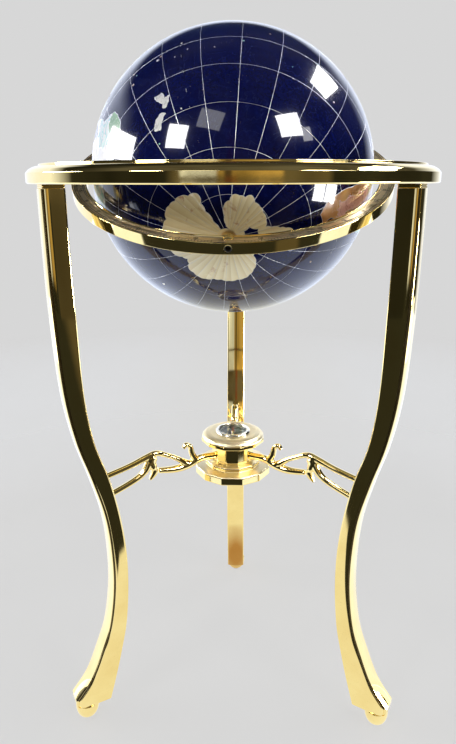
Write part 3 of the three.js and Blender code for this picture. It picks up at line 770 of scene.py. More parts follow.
def hub():
    rim = [(15, 338.3), (41, 338.3), (41.9, 339.2), (41.9, 342.9), (41, 343.5), (15, 343.5)]
    soften(hub_block("hub_upper_rim_cast", rim, "hub_upper_tier"), 0.7)
    crown = [(0, 338.4), (22, 338.4), (22, 343.2), (40.5, 343.2), (40.1, 345.1, 1.5), (38.3, 347.1, 3),
             (35.4, 348.7, 3), (31, 349.3, 2), (20.7, 349.3), (20.7, 343), (0, 343)]
    # The crown is in the pale brass too: a painted highlight on the hub's top.
    turned("hub_crown_turned", crown, BRASS_PALE_LIT, "stand", 128, sharp=50)
    boss = rod(10, 329, 339)
    turned("hub_boss_turned", boss, BRASS, "stand", 48)
    neck = [(15, 312.2), (27.5, 312.2), (27.5, 338), (15, 338)]
    soften(hub_block("hub_neck_cast", neck, "hub_neck"))
    lower = [(0, 294.6), (49, 294.6), (50, 295.6), (50, 304.2), (48.6, 305.6), (36, 306.8), (36, 310.8),
             (34.6, 311.9), (0, 311.9)]
    tier = hub_block("hub_lower_tier_cast", lower, "hub_lower_tier")
    tier.data.materials.append(BRASS_PALE_LIT)
    # Faces that look up take the pale rough brass: a painted highlight on the tier's tops.
    for face in tier.data.polygons:
        face.material_index = int(face.normal.z > 0.5)
    soften(tier, 0.6)
    washer = [(3.3, 293.1), (9, 293.1, 0.5), (9, 294.3, 0.3), (3.3, 294.3)]
    turned("hub_washer_turned", washer, BRASS, "stand", 64, replaced=["hub_washer"])
    nut = [(0, 287.5), (7.2, 287.5), (7.5, 288), (7.5, 292.3), (7.2, 292.8), (0, 292.8)]
    turned("hub_bolt_turned", nut, BRASS, "stand", 6, replaced=["hub_bolt"], sharp=20)
    dome = [(0, 284.6), (2.0, 284.75), (3.8, 285.3), (5.2, 286.2), (6.0, 287.2), (6.2, 288), (0, 288)]
    turned("hub_bolt_dome", dome, BRASS, "stand", 48)
    turned("hub_bolt_shank", rod(3, 292.5, 338), STEEL, "stand", 32)


# ---- compass ---------------------------------------------------------------------------------------------
COMPASS_R = 20.4
DIAL_TOP = 345.9


def compass():
    wall = COMPASS_R - 2
    case = [(0, 343.2), (COMPASS_R, 343.2, 0.4), (COMPASS_R, 349.6), (wall, 349.6, 0.3), (wall, 344.8, 0.5),
            (0, 344.8)]
    turned("compass_case_turned", case, SILVER, "stand", 96, replaced=["compass_case"])
    rim = COMPASS_R - 2.4
    dial = [(1.2, 345.1), (rim, 345.1, 0.2), (rim, DIAL_TOP, 0.2), (rim - 3.2, DIAL_TOP, 0.1),
            (rim - 3.4, 345.7), (rim - 3.7, 345.7), (rim - 3.9, DIAL_TOP, 0.1), (1.2, DIAL_TOP)]
    turned("compass_dial_turned", dial, DIAL, "stand", 96, replaced=["compass_dial"])
    dial_marks(rim)
    pin = [(0, 345.1), (0.8, 345.1), (0.8, 346.8, 0.2), (0.3, 347.5), (0, 347.9)]
    turned("compass_pin_turned", pin, STEEL, "stand", 32, replaced=["compass_pivot_pin"])
    glass = [(0, 349.9), (20, 349.9, 0.2), (20, 350.7, 0.3), (14, 351.0), (7, 351.1), (0, 351.1)]
    turned("compass_glass_lens", glass, GLASS, "stand", 96, replaced=["compass_glass"])
    collar = [(18, 351.4), (20.7, 351.4), (20.7, 349.6), (23.1, 349.6, 0.3), (22.4, 351.2, 0.6),
              (21.4, 352.2, 0.7), (18.8, 352.4, 0.4)]
    turned("compass_collar_turned", collar, SILVER, "stand", 128, replaced=["compass_bezel"])
    cap = [(0, 348.2), (1.1, 347.3), (1.3, 347.3, 0.1), (1.3, 348.6, 0.3), (0.6, 349.3, 0.3), (0, 349.3)]
    turned("needle_cap_turned", cap, BRASS, "needle", 32, replaced=["needle_cap"])
    needle()


def slab(points, faces, corners, low, high):
    """Adds a flat slab over an outline to a list of points and faces."""
    first, count = len(points), len(corners)
    points += [(*corner, low) for corner in corners] + [(*corner, high) for corner in corners]
    faces += [list(range(first, first + count)), list(range(first + count, first + 2 * count))]
    faces += [[first + i, first + (i + 1) % count, first + count + (i + 1) % count, first + count + i]
              for i in range(count)]


def across_out(angle):
    """The directions outward and across at an angle, in the plane."""
    return Vector((math.cos(angle), math.sin(angle))), Vector((-math.sin(angle), math.cos(angle)))


def tick(angle, start, end, half):
    """The corners of a tick along a radius."""
    out, across = across_out(angle)
    edges = (start, -half), (end, -half), (end, half), (start, half)
    return [tuple(out * along + across * aside) for along, aside in edges]


def dial_marks(rim):
    """A ring of ticks and an eight-pointed star on the compass card."""
    low, high = DIAL_TOP - 0.05, DIAL_TOP + 0.08
    points, faces = [], []
    for step in range(72):
        start, half = (rim - 3.1, 0.12) if step % 6 else (rim - 3.5, 0.26)
        slab(points, faces, tick(math.tau * step / 72, start, rim - 1, half), low, high)
    for point in range(8):
        length = 12.4 if point % 2 == 0 else 8.4
        out, across = across_out(math.tau * point / 8)
        corners = [out * 1.6, out * 3.2 - across * 1.3, out * length, out * 3.2 + across * 1.3]
        slab(points, faces, [tuple(c) for c in corners], low, high)
    piece("compass_dial_marks", points, faces, INK_AND_SHADE, "stand", slot="dial")


def needle():
    """A ridged lozenge, one half red and one half bright."""
    low, high, half, width = 347.5, 348.0, 15.8, 2.6
    for name, sign, finish in (("red", 1, NEEDLE_RED), ("bright", -1, STEEL)):
        points = [(0, sign * half, low), (-width, 0, low), (width, 0, low),
                  (0, sign * half * 0.98, high - 0.2), (-width * 0.92, 0, high - 0.25),
                  (width * 0.92, 0, high - 0.25), (0, 0, high), (0, 0, low)]
        faces = [[0, 1, 7, 2], [0, 1, 4, 3], [0, 3, 5, 2], [3, 4, 6], [3, 6, 5], [1, 7, 2, 5, 6, 4]]
        blade = piece(f"needle_half_{name}", points, faces, finish, "needle", slot="needle", sharp=20)
        if sign > 0:
            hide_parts("compass_needle")


# ---- gimbal ----------------------------------------------------------------------------------------------
GIMBAL_OUTER = 188.5
GIMBAL_INNER = 171.7
GIMBAL_HALF = 6.25
SCALE_FLOOR = GIMBAL_HALF - 0.8
SCALE_LINES = (174.9, 176.3, 182.6, 185.4)
RING_AXIS = Matrix.Rotation(-math.pi / 2, 4, "X")  # lays a piece made about Z along Y, +Z becoming +Y
TOWARD_FRONT = Matrix.Rotation(math.pi / 2, 4, "X")  # the same, +Z becoming -Y


def raised_lines(radii, floor, height, width):
    """Corners of small raised rings on a flat floor, for a profile."""
    corners = []
    for radius in radii:
        corners += [(radius - width / 2 - 0.1, floor), (radius - width / 2, floor - height, 0.06),
                    (radius + width / 2, floor - height, 0.06), (radius + width / 2 + 0.1, floor)]
    return corners


def gimbal_ring():
    lines = raised_lines(SCALE_LINES, -SCALE_FLOOR, 0.25, 0.5)
    profile = [
        (GIMBAL_INNER, -GIMBAL_HALF, 0.35), (GIMBAL_INNER + 1.4, -GIMBAL_HALF, 0.3),
        (GIMBAL_INNER + 1.8, -SCALE_FLOOR),
        *lines, (GIMBAL_OUTER - 2, -SCALE_FLOOR), (GIMBAL_OUTER - 1.6, -GIMBAL_HALF, 0.3),
        (GIMBAL_OUTER, -GIMBAL_HALF, 0.5), (GIMBAL_OUTER, GIMBAL_HALF, 0.5), (GIMBAL_INNER, GIMBAL_HALF, 0.5),
    ]
    ring = turned("gimbal_ring_turned", profile, BRASS, "gimbal", 256, matrix=TILTED @ RING_AXIS,
                  replaced=["gimbal_ring"], sharp=28)
    tools = []
    for turn in POLES.values():
        pole = TILTED @ Matrix.Rotation(turn, 4, "X")
        tools += [tool(rod(4.5, 160, 200), pole), tool(rod(7.8, 160, 180.3), pole)]
    for turn in SIDES.values():
        side = TILTED @ along_x(turn)
        tools += [tool(rod(3.3, 165, 200), side), tool(rod(5.5, 165, 175.7), side)]
    cut(ring, *tools)
    ring.data.materials.append(BRASS_SATIN)
    ring.data.materials.append(INK_AND_SHADE)
    level = TILTED.inverted()
    for face in ring.data.polygons:
        spot = level @ face.center / MM
        radius = math.hypot(spot.x, spot.z)
        in_channel = GIMBAL_INNER + 1.7 < radius < GIMBAL_OUTER - 1.7
        on_line = any(abs(radius - line) < 0.3 for line in SCALE_LINES)
        if in_channel and spot.y < -SCALE_FLOOR + 0.3:
            face.material_index = 2 if on_line else 1


def scale_marks():
    """Degree ticks in the scale's channel, longer at fives and tens, with plain stretches at the poles."""
    points, faces = [], []
    clear = math.degrees(15 / GIMBAL_OUTER)
    for degree in range(360):
        from_pole = min(abs(degree - 90), abs(degree - 270))
        if from_pole < clear:
            continue
        start = 180.6 if degree % 10 == 0 else 181.4 if degree % 5 == 0 else 183.1
        half = 0.27 if degree % 5 == 0 else 0.20
        corners = tick(math.radians(degree), start, 185.2, half)
        slab(points, faces, corners, SCALE_FLOOR - 0.1, SCALE_FLOOR + 0.22)
    piece("gimbal_scale_ticks", points, faces, INK_AND_SHADE, "gimbal", matrix=TILTED @ TOWARD_FRONT)


def scale_numbers():
    """Numbers every ten degrees from the equator, read from outside the ring."""
    made = []
    for quarter in range(4):
        falling = quarter % 2  # numbers fall along this quarter, whose nought belongs to the next one
        for tens in range(falling, 9):
            angle = math.radians(90 * quarter + (90 - 10 * tens if falling else 10 * tens))
            text = bpy.data.curves.new("number", "FONT")
            text.body = str(10 * tens)
            text.size = 5 * MM
            text.align_x = "CENTER"
            text.align_y = "CENTER"
            text.extrude = 0.1 * MM
            text.resolution_u = 3
            thing = new_object("number", text)
            place = Matrix.Rotation(angle, 4, "Z") @ Matrix.Translation((179.0 * MM, 0, SCALE_FLOOR * MM))
            thing.matrix_world = place @ Matrix.Rotation(-math.pi / 2, 4, "Z")
            made.append(thing)
    bpy.context.view_layer.update()
    graph = bpy.context.evaluated_depsgraph_get()
    work = bmesh.new()
    for thing in made:
        mesh = bpy.data.meshes.new_from_object(thing.evaluated_get(graph))
        mesh.transform(thing.matrix_world)
        work.from_mesh(mesh)
    bmesh.ops.remove_doubles(work, verts=work.verts, dist=1e-7)
    mesh = bpy.data.meshes.new("gimbal_scale_numbers")
    work.to_mesh(mesh)
    work.free()
    for thing in made:
        bpy.data.objects.remove(thing)
    install(new_object("gimbal_scale_numbers", mesh), INK_AND_SHADE, "gimbal", TILTED @ TOWARD_FRONT)


def knurl(angle, radius):
    return radius - 0.35 * abs(math.sin(16 * angle)) if radius > 7 else radius


def pole_parts():
    outer = GIMBAL_OUTER - 0.4
    for pole, turn in POLES.items():
        matrix = TILTED @ Matrix.Rotation(turn, 4, "X")
        screw = [(0, 152), (2.1, 152), (2.9, 152.8), (2.9, 166.5), (4.2, 166.5), (4.2, outer - 0.7, 0.3),
                 (3.6, outer, 0.2), (0, outer)]
        body = turned(f"pole_screw_turned_{pole}", screw, STEEL, "gimbal", 72, matrix=matrix,
                      replaced=[f"pole_screw_{pole}"])
        socket = 3.3
        cut(body, tool(rod(socket, outer - 4.5, outer + 5), matrix, 6))
        # Faces inside the hex socket take the dark ink: painted shade in the socket.
        body.data.materials.append(INK_AND_SHADE)
        level = matrix.inverted()
        for face in body.data.polygons:
            spot = level @ face.center / MM
            in_socket = math.hypot(spot.x, spot.y) < socket and outer - 5 < spot.z < outer - 0.1
            face.material_index = int(in_socket)
        sleeve = [(4.5, 166.3), (6.6, 166.3, 0.2), (6.8, 167.2), (7.5, 167.9), (7.5, 178.4), (6.8, 179.1),
                  (6.6, 180, 0.2), (4.5, 180)]
        turned(f"pole_sleeve_knurled_{pole}", sleeve, BRASS, "gimbal", 192, wave=knurl, matrix=matrix,
               replaced=[f"pole_sleeve_{pole}"], sharp=40)
        bush = [(3.2, 154), (8, 154), (8, 164.2, 0.3), (3.2, 164.2, 0.2)]
        turned(f"pole_bush_turned_{pole}", bush, BRASS_SATIN, "globe", 64, matrix=matrix,
               replaced=[f"pole_bush_{pole}"])


# ---- ball ------------------------------------------------------------------------------------------------
PRIME_MERIDIAN = 64.3  # degrees round the polar axis, at rest, of longitude nought
POLE_HOLE = 8.3
SHELL_INNER = BALL_R - 8
WIRE_R = 0.19
BORDER_WIRE_R = 0.2
WIRE_SIDES = 6
GRATICULE = 15  # degrees between the lines of longitude and latitude


def on_ball(lon, lat, radius=1.0):
    a, b = math.radians(lon + PRIME_MERIDIAN), math.radians(lat)
    return Vector((math.cos(b) * math.cos(a), math.cos(b) * math.sin(a), math.sin(b))) * radius


def arc_profile(radius, steps):
    start = math.asin(POLE_HOLE / radius)
    angles = [start + (math.pi - 2 * start) * step / steps for step in range(steps + 1)]
    return [(radius * math.sin(angle), -radius * math.cos(angle)) for angle in angles]


def ocean():
    profile = arc_profile(OCEAN_R, 96) + arc_profile(SHELL_INNER, 24)[::-1]
    turned("ball_ocean", profile, LAPIS, "globe", 192, matrix=TILTED, replaced=["globe_shell"], sharp=40)


# Coastlines as (longitude, latitude), roughened between the points.
LANDS = {
    "africa": [
        (-6, 35.8), (3, 36.8), (10, 37.3), (11, 33.8), (15, 32.4), (20, 31), (25, 31.7), (32, 31.2),
        (34, 28), (37, 22), (39, 16), (43, 11.6), (51, 11.8), (48, 5), (42, -2), (39, -6.5), (40.5, -14),
        (35, -20), (35.5, -24), (32.8, -27), (30, -31), (26, -34), (19.5, -34.8), (18, -32), (15, -27),
        (12, -18), (13.5, -11), (12, -5.5), (9, -0.5), (9.5, 4), (5, 4.8), (1, 6), (-4, 5.2), (-7.8, 4.3),
        (-13, 8.8), (-16.8, 13), (-17.3, 14.8), (-16.2, 19.5), (-16.8, 22), (-13, 27.7), (-9.7, 30),
        (-9.2, 32.5)],
    "eurasia": [
        (-9, 37), (-9, 43.3), (-1.8, 43.4), (-1.2, 46), (-4.6, 48.4), (1.5, 50.2), (4.5, 52.8), (8, 54),
        (8.3, 57), (10.6, 57.6), (10.3, 55), (14, 54), (19, 54.5), (21, 57), (24, 58.8), (29.5, 59.8),
        (25, 60.4), (21.8, 61.5), (25, 65), (22, 65.7), (17.5, 61.5), (16.5, 57), (13, 55.6), (11, 59),
        (7, 58), (5, 61), (12, 66), (18, 69.7), (25.5, 71), (32, 69.8), (41, 67), (33.5, 66.4), (38, 64.3),
        (44, 66), (46, 68.3), (54, 68.6), (60, 69), (68, 69), (67, 72), (72.5, 73), (72.8, 68), (74.5, 71),
        (80, 73), (87, 75), (98, 76.2), (104.5, 77.6), (112, 76), (113.5, 73.8), (127, 73), (130, 71),
        (140, 72.5), (152, 71), (160, 69.8), (170, 69.8), (180, 68.8), (190, 66), (187, 64.3), (180, 64.8),
        (177.5, 62.3), (170, 60), (163.5, 59.5), (163, 56), (156.8, 51.1), (155.7, 55), (157, 58),
        (163.5, 61), (160, 61.8), (155, 59.3), (149, 59.5), (142, 58.5), (135.5, 54.8), (141, 53),
        (140.5, 48.5), (136, 44.5), (131, 42.8), (129.5, 41), (127.5, 39.5), (129.4, 36.5), (127.5, 34.6),
        (126.4, 37), (125, 39.7), (121.5, 39), (121.5, 40.8), (118, 39), (119, 37.3), (122.5, 37),
        (119.5, 35), (121.8, 31.5), (121.8, 29), (119.5, 25.5), (116, 22.8), (110.5, 21.2), (108, 21.6),
        (106, 19), (108.8, 15), (109, 11.7), (105, 8.7), (103, 11), (100.8, 13.4), (99.3, 10), (101, 6.8),
        (103.5, 4), (104, 1.4), (101.3, 2.9), (100.3, 6), (98.4, 8), (98.6, 12), (97.5, 16.5), (94.3, 16),
        (92, 22), (89, 21.8), (86.8, 20.7), (82.3, 16.7), (80.3, 15), (80, 11), (77.6, 8.1), (75.5, 11.8),
        (73, 17.5), (72.6, 21), (69.5, 22), (67, 24.8), (61.5, 25.2), (57, 26.8), (51.5, 27.9), (50, 30),
        (48, 29.8), (50, 26.6), (51.5, 25.7), (51.7, 24), (56.3, 26), (59.8, 22.5), (57.7, 19), (55, 17),
        (52, 15.6), (45, 12.8), (43.3, 13), (42.7, 16.5), (39, 21), (35, 28), (34.5, 31.5), (36, 36),
        (32, 36.2), (29, 36.5), (26.5, 38.5), (27, 40.3), (31, 41.2), (36, 41.5), (41.5, 41.5),
        (38.5, 44.5), (38, 47), (34, 45), (31, 46.5), (28, 43.5), (28.2, 41.4), (26, 40.7), (23.8, 40),
        (24, 38), (22.8, 36.5), (21.2, 38), (19.4, 41.8), (15, 44.5), (13.5, 45.6), (12.4, 44.5),
        (14, 42.4), (16, 41.5), (18.4, 40), (16.8, 39), (16, 38), (15, 40), (12.3, 41.8), (10.3, 43.6),
        (7, 43.5), (3.2, 43.2), (0, 40.2), (-0.6, 38), (-2, 36.8), (-5.5, 36)],
    "north_america": [
        (-168, 65.7), (-162, 66.5), (-166.5, 68.3), (-156.5, 71.3), (-141, 69.7), (-128, 70), (-115, 68),
        (-108, 68), (-95, 68), (-94, 71.8), (-88, 68.5), (-82, 69.5), (-86, 66.5), (-93, 62), (-94.5, 58.8),
        (-88, 56.5), (-82.2, 55), (-80, 51.5), (-79, 54.5), (-77, 57), (-78, 62.3), (-73, 62.3),
        (-68, 58.5), (-64.5, 60.3), (-61, 56), (-56, 52), (-60, 50.2), (-66, 50), (-70.5, 47), (-65, 49),
        (-64.5, 46.3), (-61, 45.5), (-65.5, 43.6), (-67, 45), (-70.5, 43.3), (-70, 41.8), (-74, 40.6),
        (-75.5, 38), (-76, 35), (-81, 31.8), (-80.2, 26), (-81.5, 25.3), (-82.8, 28), (-84, 30),
        (-89.5, 30.2), (-94.5, 29.5), (-97.3, 27.5), (-97.7, 22.5), (-95.8, 18.8), (-92, 18.6), (-90.5, 21),
        (-87, 21.5), (-88, 18), (-88.3, 15.8), (-83.3, 15), (-83.5, 11), (-82, 9), (-79.5, 9.5),
        (-77.3, 8.2), (-78, 7.3), (-80, 7.5), (-83, 8.3), (-85.7, 10.5), (-87.5, 13), (-92, 14.5),
        (-95, 16), (-101, 17.3), (-105.5, 20), (-105.5, 22.7), (-109.3, 26), (-112.8, 30), (-114.7, 31.8),
        (-112.5, 28.5), (-109.6, 23.2), (-112.2, 25.5), (-115, 28.5), (-117.2, 32.7), (-120.6, 34.6),
        (-123, 38), (-124.3, 40.5), (-124, 46), (-123, 49), (-128, 51.5), (-131, 55), (-136, 58.2),
        (-144, 60), (-151, 59.5), (-154, 58), (-163, 54.8), (-158, 58), (-162, 59.8), (-165.5, 61.5),
        (-161, 64)],
    "south_america": [
        (-77.3, 8.3), (-75.5, 10.7), (-72, 12), (-69, 11.5), (-62, 10.6), (-57, 6), (-51.5, 4.3), (-50, 0),
        (-44.5, -2.6), (-40, -2.9), (-35.3, -5.3), (-34.9, -8.5), (-39, -13), (-39.3, -17.8), (-41, -22),
        (-45, -23.5), (-48.6, -26), (-48.8, -28.5), (-52.3, -32.5), (-54.5, -34.8), (-58.2, -34),
        (-57, -36.3), (-58, -38.2), (-60, -39), (-62.5, -41), (-61.5, -42.6), (-64.5, -46), (-63.5, -48),
        (-66.5, -51), (-66, -52.5), (-64, -54.8), (-71, -56), (-76.5, -53), (-78, -49), (-78, -45),
        (-77.5, -42), (-76, -37.5), (-74.5, -33), (-73, -28.5), (-71.5, -22), (-70.3, -18.3),
        (-76.2, -13.8), (-79.5, -7.5), (-81.3, -5), (-80, -2.5), (-80.3, 0.5), (-77.5, 3), (-77.5, 7)],
    "australia": [
        (113.6, -22.5), (115.2, -30), (115, -34.3), (118, -35), (123.5, -34), (129, -31.6), (133, -32),
        (136, -34.8), (138.2, -33.5), (140, -37.3), (143.5, -38.7), (146.3, -39), (150, -37.3),
        (154, -31.5), (154.5, -26), (151, -21.5), (146, -19), (145.3, -15), (142.5, -10.8), (141.3, -14),
        (140, -17.6), (136, -15.5), (136.7, -12.2), (131, -12), (129.5, -15), (126, -14), (122.3, -18),
        (117, -20.8)],
    "antarctica": [
        (-22, -78.5), (-15, -75.5), (-6, -73.5), (2, -72), (9, -71), (17, -71), (26, -70.5), (35, -71),
        (43, -70.5), (51, -69), (58, -68.5), (65, -69), (71, -69), (76, -71), (82, -72), (87, -70.5),
        (92, -68), (99, -67.5), (106, -66.5), (113, -66.5), (121, -66.5), (128, -67.5), (135, -66.5),
        (141, -67), (148, -68), (155, -68.5), (161, -70.5), (168, -71), (171, -72.5), (167, -75),
        (165, -78), (163, -82.5), (160, -86), (-135, -87), (-165, -85), (-163, -82), (-160, -78),
        (-152, -77), (-148, -75), (-140, -75), (-132, -75), (-126, -73.5), (-118, -75), (-109, -75),
        (-100, -75.5), (-88, -76), (-79, -77), (-76, -75), (-72, -72), (-70, -70), (-67, -67.5),
        (-59, -68.5), (-60, -73.5), (-57, -76.5), (-66, -79.3), (-80, -79.5), (-93, -82), (-88, -84.4),
        (-70, -84.6), (-50, -83), (-35, -80.5)],
    "greenland": [
        (-73, 78.2), (-60, 82), (-32, 83.5), (-18, 80), (-20, 75), (-24, 70.5), (-33, 67.8), (-40, 65),
        (-43.3, 60), (-48.5, 61), (-53.5, 67), (-54.5, 71), (-60, 76)],
    "madagascar": [
        (49.3, -12), (50.4, -15.8), (47.2, -24.9), (44.2, -25), (43.3, -22.3), (44.3, -16.2), (47.8, -13.6)],
    "baffin": [
        (-61.5, 66.8), (-66, 62), (-72, 63), (-78, 64.5), (-73, 67.5), (-79, 70), (-88, 70.5), (-88, 73.5),
        (-78, 73.3), (-70, 70.8)],
    "victoria_land": [(-117, 73), (-106, 73), (-101.5, 69), (-115, 69)],
    "ellesmere": [(-90, 77), (-78, 76.5), (-64, 81.5), (-68, 83), (-88, 82), (-92, 80)],
    "nz_north": [
        (173.5, -34.6), (176.8, -34.6), (177.3, -37.2), (180, -37), (178.8, -39.3), (176.6, -40.9),
        (175.2, -40.2), (176, -38.8), (174.6, -37.4), (173.2, -35.4)],
    "nz_south": [(174.6, -42), (175.8, -42.9), (173.2, -44.4), (170, -47), (167.2, -45.8), (171, -42.6)],
    "tasmania": [(144.8, -40.8), (148.2, -41), (147.5, -43.5), (145.8, -43.2)],
    "new_guinea": [
        (131, -0.8), (134, -0.8), (135, -3.4), (141, -2.6), (147.5, -6), (150.8, -10.4), (147, -9.2),
        (143, -9), (138, -8.2), (138, -5.6), (133, -4)],
    "borneo": [(109, 1.5), (111.5, 2.5), (117, 7), (119, 5), (117.5, 1), (116, -4), (110.5, -2.8)],
    "sumatra": [(95.4, 5.6), (100.5, 2), (104, -2), (105.8, -5.8), (102.3, -4), (98.8, 1)],
    "java": [(105.3, -6.6), (108.5, -6.4), (114.4, -7.6), (114.3, -8.7), (106.5, -7.6)],
    "sulawesi": [
        (119.5, -5.5), (120.5, -3), (121.5, -4.8), (123.3, -0.9), (125, 1.6), (120.2, 1), (119.3, -3.3)],
    "luzon": [(120.5, 18.4), (122.2, 18.4), (122, 14.2), (124, 12.8), (120.6, 14)],
    "mindanao": [(122.3, 7.2), (125.7, 9.7), (126.3, 7), (125.4, 5.7)],
    "honshu": [
        (130.9, 34), (132.8, 35.5), (136.8, 37), (139.6, 38.6), (140.3, 41.2), (141.9, 39.6), (140.8, 35.7),
        (136.8, 34.4)],
    "hokkaido": [(140.2, 42), (141.8, 45.4), (145.4, 43.3), (143.2, 42.1)],
    "kyushu": [(130, 32.2), (131, 33.8), (131.9, 33), (130.8, 31.1)],
    "britain": [
        (-5.5, 50.1), (1.3, 51.2), (1.6, 52.8), (-1.5, 55), (-2, 57.5), (-5, 58.6), (-5.5, 56),
        (-3.2, 54.9), (-4.5, 53.2), (-5, 51.7), (-3, 51.3)],
    "ireland": [(-10, 51.6), (-6.3, 52.3), (-6, 55.2), (-8.3, 55.2), (-10, 53.5)],
    "iceland": [(-24, 65.5), (-22.5, 66.4), (-16, 66.5), (-13.6, 65), (-18.8, 63.4), (-22.5, 63.9)],
    "sri_lanka": [(79.8, 8.5), (81.7, 7.5), (80.5, 6)],
    "cuba": [(-84.8, 21.9), (-80, 23.1), (-74.3, 20.2), (-77.6, 19.9), (-78.5, 21.4)],
    "hispaniola": [(-74.4, 18.5), (-73, 19.9), (-68.5, 18.6), (-71.5, 17.8)],
    "newfoundland": [(-59.2, 47.7), (-56, 51.5), (-53, 47)],
    "novaya_zemlya": [(52, 71), (56, 74), (68, 76.8), (60, 75.5), (56, 71)],
    "svalbard": [(14, 77), (12, 79.6), (25, 80), (20, 77.5)],
    "sakhalin": [(142, 46.2), (142.2, 54), (143.3, 52), (143, 49)],
}

# Regions of each land as stone: the points that a region gathers round.
REGIONS = {
    "africa": [
        ("tiger", [(-8, 28), (2, 27), (1, 33)]), ("rose", [(16, 27), (20, 30)]),
        ("agate", [(28, 27), (32, 25)]), ("jade", [(-10, 20), (-4, 17), (-14, 17)]),
        ("howlite", [(9, 17), (7, 14)]), ("jasper", [(18, 15), (17, 20)]),
        ("amazonite", [(30, 15), (27, 12), (34, 18)]), ("marble", [(40, 8), (45, 7), (37, 12)]),
        ("carnelian", [(8, 9), (-2, 8)]), ("malachite", [(-9, 9), (-12, 12)]),
        ("tiger", [(20, 6), (13, 4)]), ("rose", [(37, 1), (34, 1)]),
        ("jade", [(23, -2), (18, -1), (26, -7), (15, 1)]), ("agate", [(35, -7)]),
        ("howlite", [(18, -12), (14, -14)]), ("jasper", [(28, -14), (33, -12)]),
        ("amazonite", [(37, -15), (34, -22)]), ("carnelian", [(16, -22), (19, -27)]),
        ("marble", [(24, -22)]), ("malachite", [(29, -19)]), ("tiger", [(25, -30), (20, -32), (29, -26)])],
    "eurasia": [
        ("rose", [(-4, 40)]), ("marble", [(2, 47)]), ("jade", [(10, 51), (12, 47)]),
        ("carnelian", [(12, 43), (16, 40)]), ("howlite", [(20, 52)]), ("tiger", [(20, 45), (23, 39)]),
        ("amazonite", [(31, 49), (25, 55)]), ("jasper", [(8, 61), (15, 66)]),
        ("agate", [(16, 61), (19, 66)]), ("marble", [(26, 65)]),
        ("shell", [(40, 57), (50, 60), (60, 61), (72, 62), (84, 63), (96, 62), (108, 62), (122, 63),
                   (138, 64), (152, 65), (168, 65), (182, 66), (158, 55), (60, 54), (80, 55), (96, 55),
                   (112, 54), (126, 54), (137, 48), (46, 50), (34, 60), (42, 45)]),
        ("rose", [(35, 39), (31, 38)]), ("malachite", [(38, 34), (43, 34)]),
        ("howlite", [(45, 24), (50, 20), (40, 26)]), ("carnelian", [(47, 15.5), (54, 19)]),
        ("agate", [(53, 33), (57, 30)]), ("jasper", [(65, 33)]), ("tiger", [(68, 29)]),
        ("jade", [(60, 41), (66, 40)]), ("amazonite", [(62, 48), (72, 48), (54, 47)]),
        ("howlite", [(74, 41)]),
        ("carnelian", [(76, 28), (78, 22), (82, 24), (77, 14), (86, 24), (75, 32)]),
        ("malachite", [(84, 28)]), ("jade", [(90, 24)]), ("marble", [(96, 21)]),
        ("rose", [(85, 42), (92, 33), (100, 36), (108, 33), (116, 31), (113, 25), (104, 28), (118, 37),
                  (124, 45), (112, 42)]), ("jasper", [(94, 47), (104, 46), (112, 47)]),
        ("tiger", [(101, 15)]), ("amazonite", [(106, 14), (104, 20)]),
        ("agate", [(102, 4), (127, 37), (126.5, 40)])],
    "north_america": [
        ("jade", [(-153, 65), (-160, 60), (-147, 62)]),
        ("shell", [(-125, 62), (-110, 62), (-96, 64), (-120, 53), (-110, 53), (-100, 53), (-92, 52),
                   (-84, 51.5), (-76, 50), (-66, 53), (-74, 58), (-133, 63)]),
        ("rose", [(-120, 45), (-110, 45), (-100, 45), (-92, 45.5), (-84, 43), (-76, 42), (-69, 45),
                  (-118, 37), (-106, 37), (-95, 36), (-84, 35), (-97, 31), (-82, 29), (-110, 33)]),
        ("malachite", [(-111, 29), (-104, 25), (-99, 20), (-90, 19)]), ("tiger", [(-90, 15)]),
        ("marble", [(-85, 13)]), ("carnelian", [(-82, 9)])],
    "south_america": [
        ("jade", [(-74, 5)]), ("jasper", [(-66, 7)]), ("tiger", [(-59, 5)]), ("rose", [(-78, -1)]),
        ("howlite", [(-76, -8), (-73, -14)]), ("carnelian", [(-65, -16)]),
        ("malachite", [(-62, -5), (-52, -4), (-44, -7), (-52, -13), (-43, -15), (-50, -22), (-53, -29),
                       (-61, -9)]), ("agate", [(-59, -23)]), ("marble", [(-56, -33)]),
        ("jasper", [(-70, -22), (-72.5, -30), (-75, -37), (-77, -44), (-77, -50), (-73, -55), (-69, -50)]),
        ("rose", [(-66, -28), (-67.5, -34), (-68, -40), (-68, -45)]),
        ("tiger", [(-61, -29), (-61, -34), (-63, -40)])],
    "australia": [
        ("abalone", [(122, -25), (118, -31), (145, -22), (144, -26)]),
        ("howlite", [(133, -20), (134, -14)]), ("marble", [(134, -29)]),
        ("abalone", [(147, -32), (145, -36)]), ("jade", [(150, -29)])],
    "new_guinea": [("jasper", [(135, -4)]), ("jade", [(145, -6)])],
    "borneo": [("amazonite", [(114, 3)]), ("tiger", [(114, -1)])],
}
# Lands that are a single stone. The rest are agate.
WHOLE = {
    "antarctica": "shell", "baffin": "shell", "victoria_land": "shell", "ellesmere": "shell",
    "newfoundland": "shell", "novaya_zemlya": "shell", "sakhalin": "shell", "greenland": "marble",
    "nz_north": "marble", "nz_south": "marble", "iceland": "howlite", "madagascar": "carnelian",
    "honshu": "carnelian", "hokkaido": "carnelian", "kyushu": "carnelian", "sumatra": "tiger",
    "java": "tiger", "britain": "tiger", "tasmania": "jade", "ireland": "jade", "cuba": "rose",
}
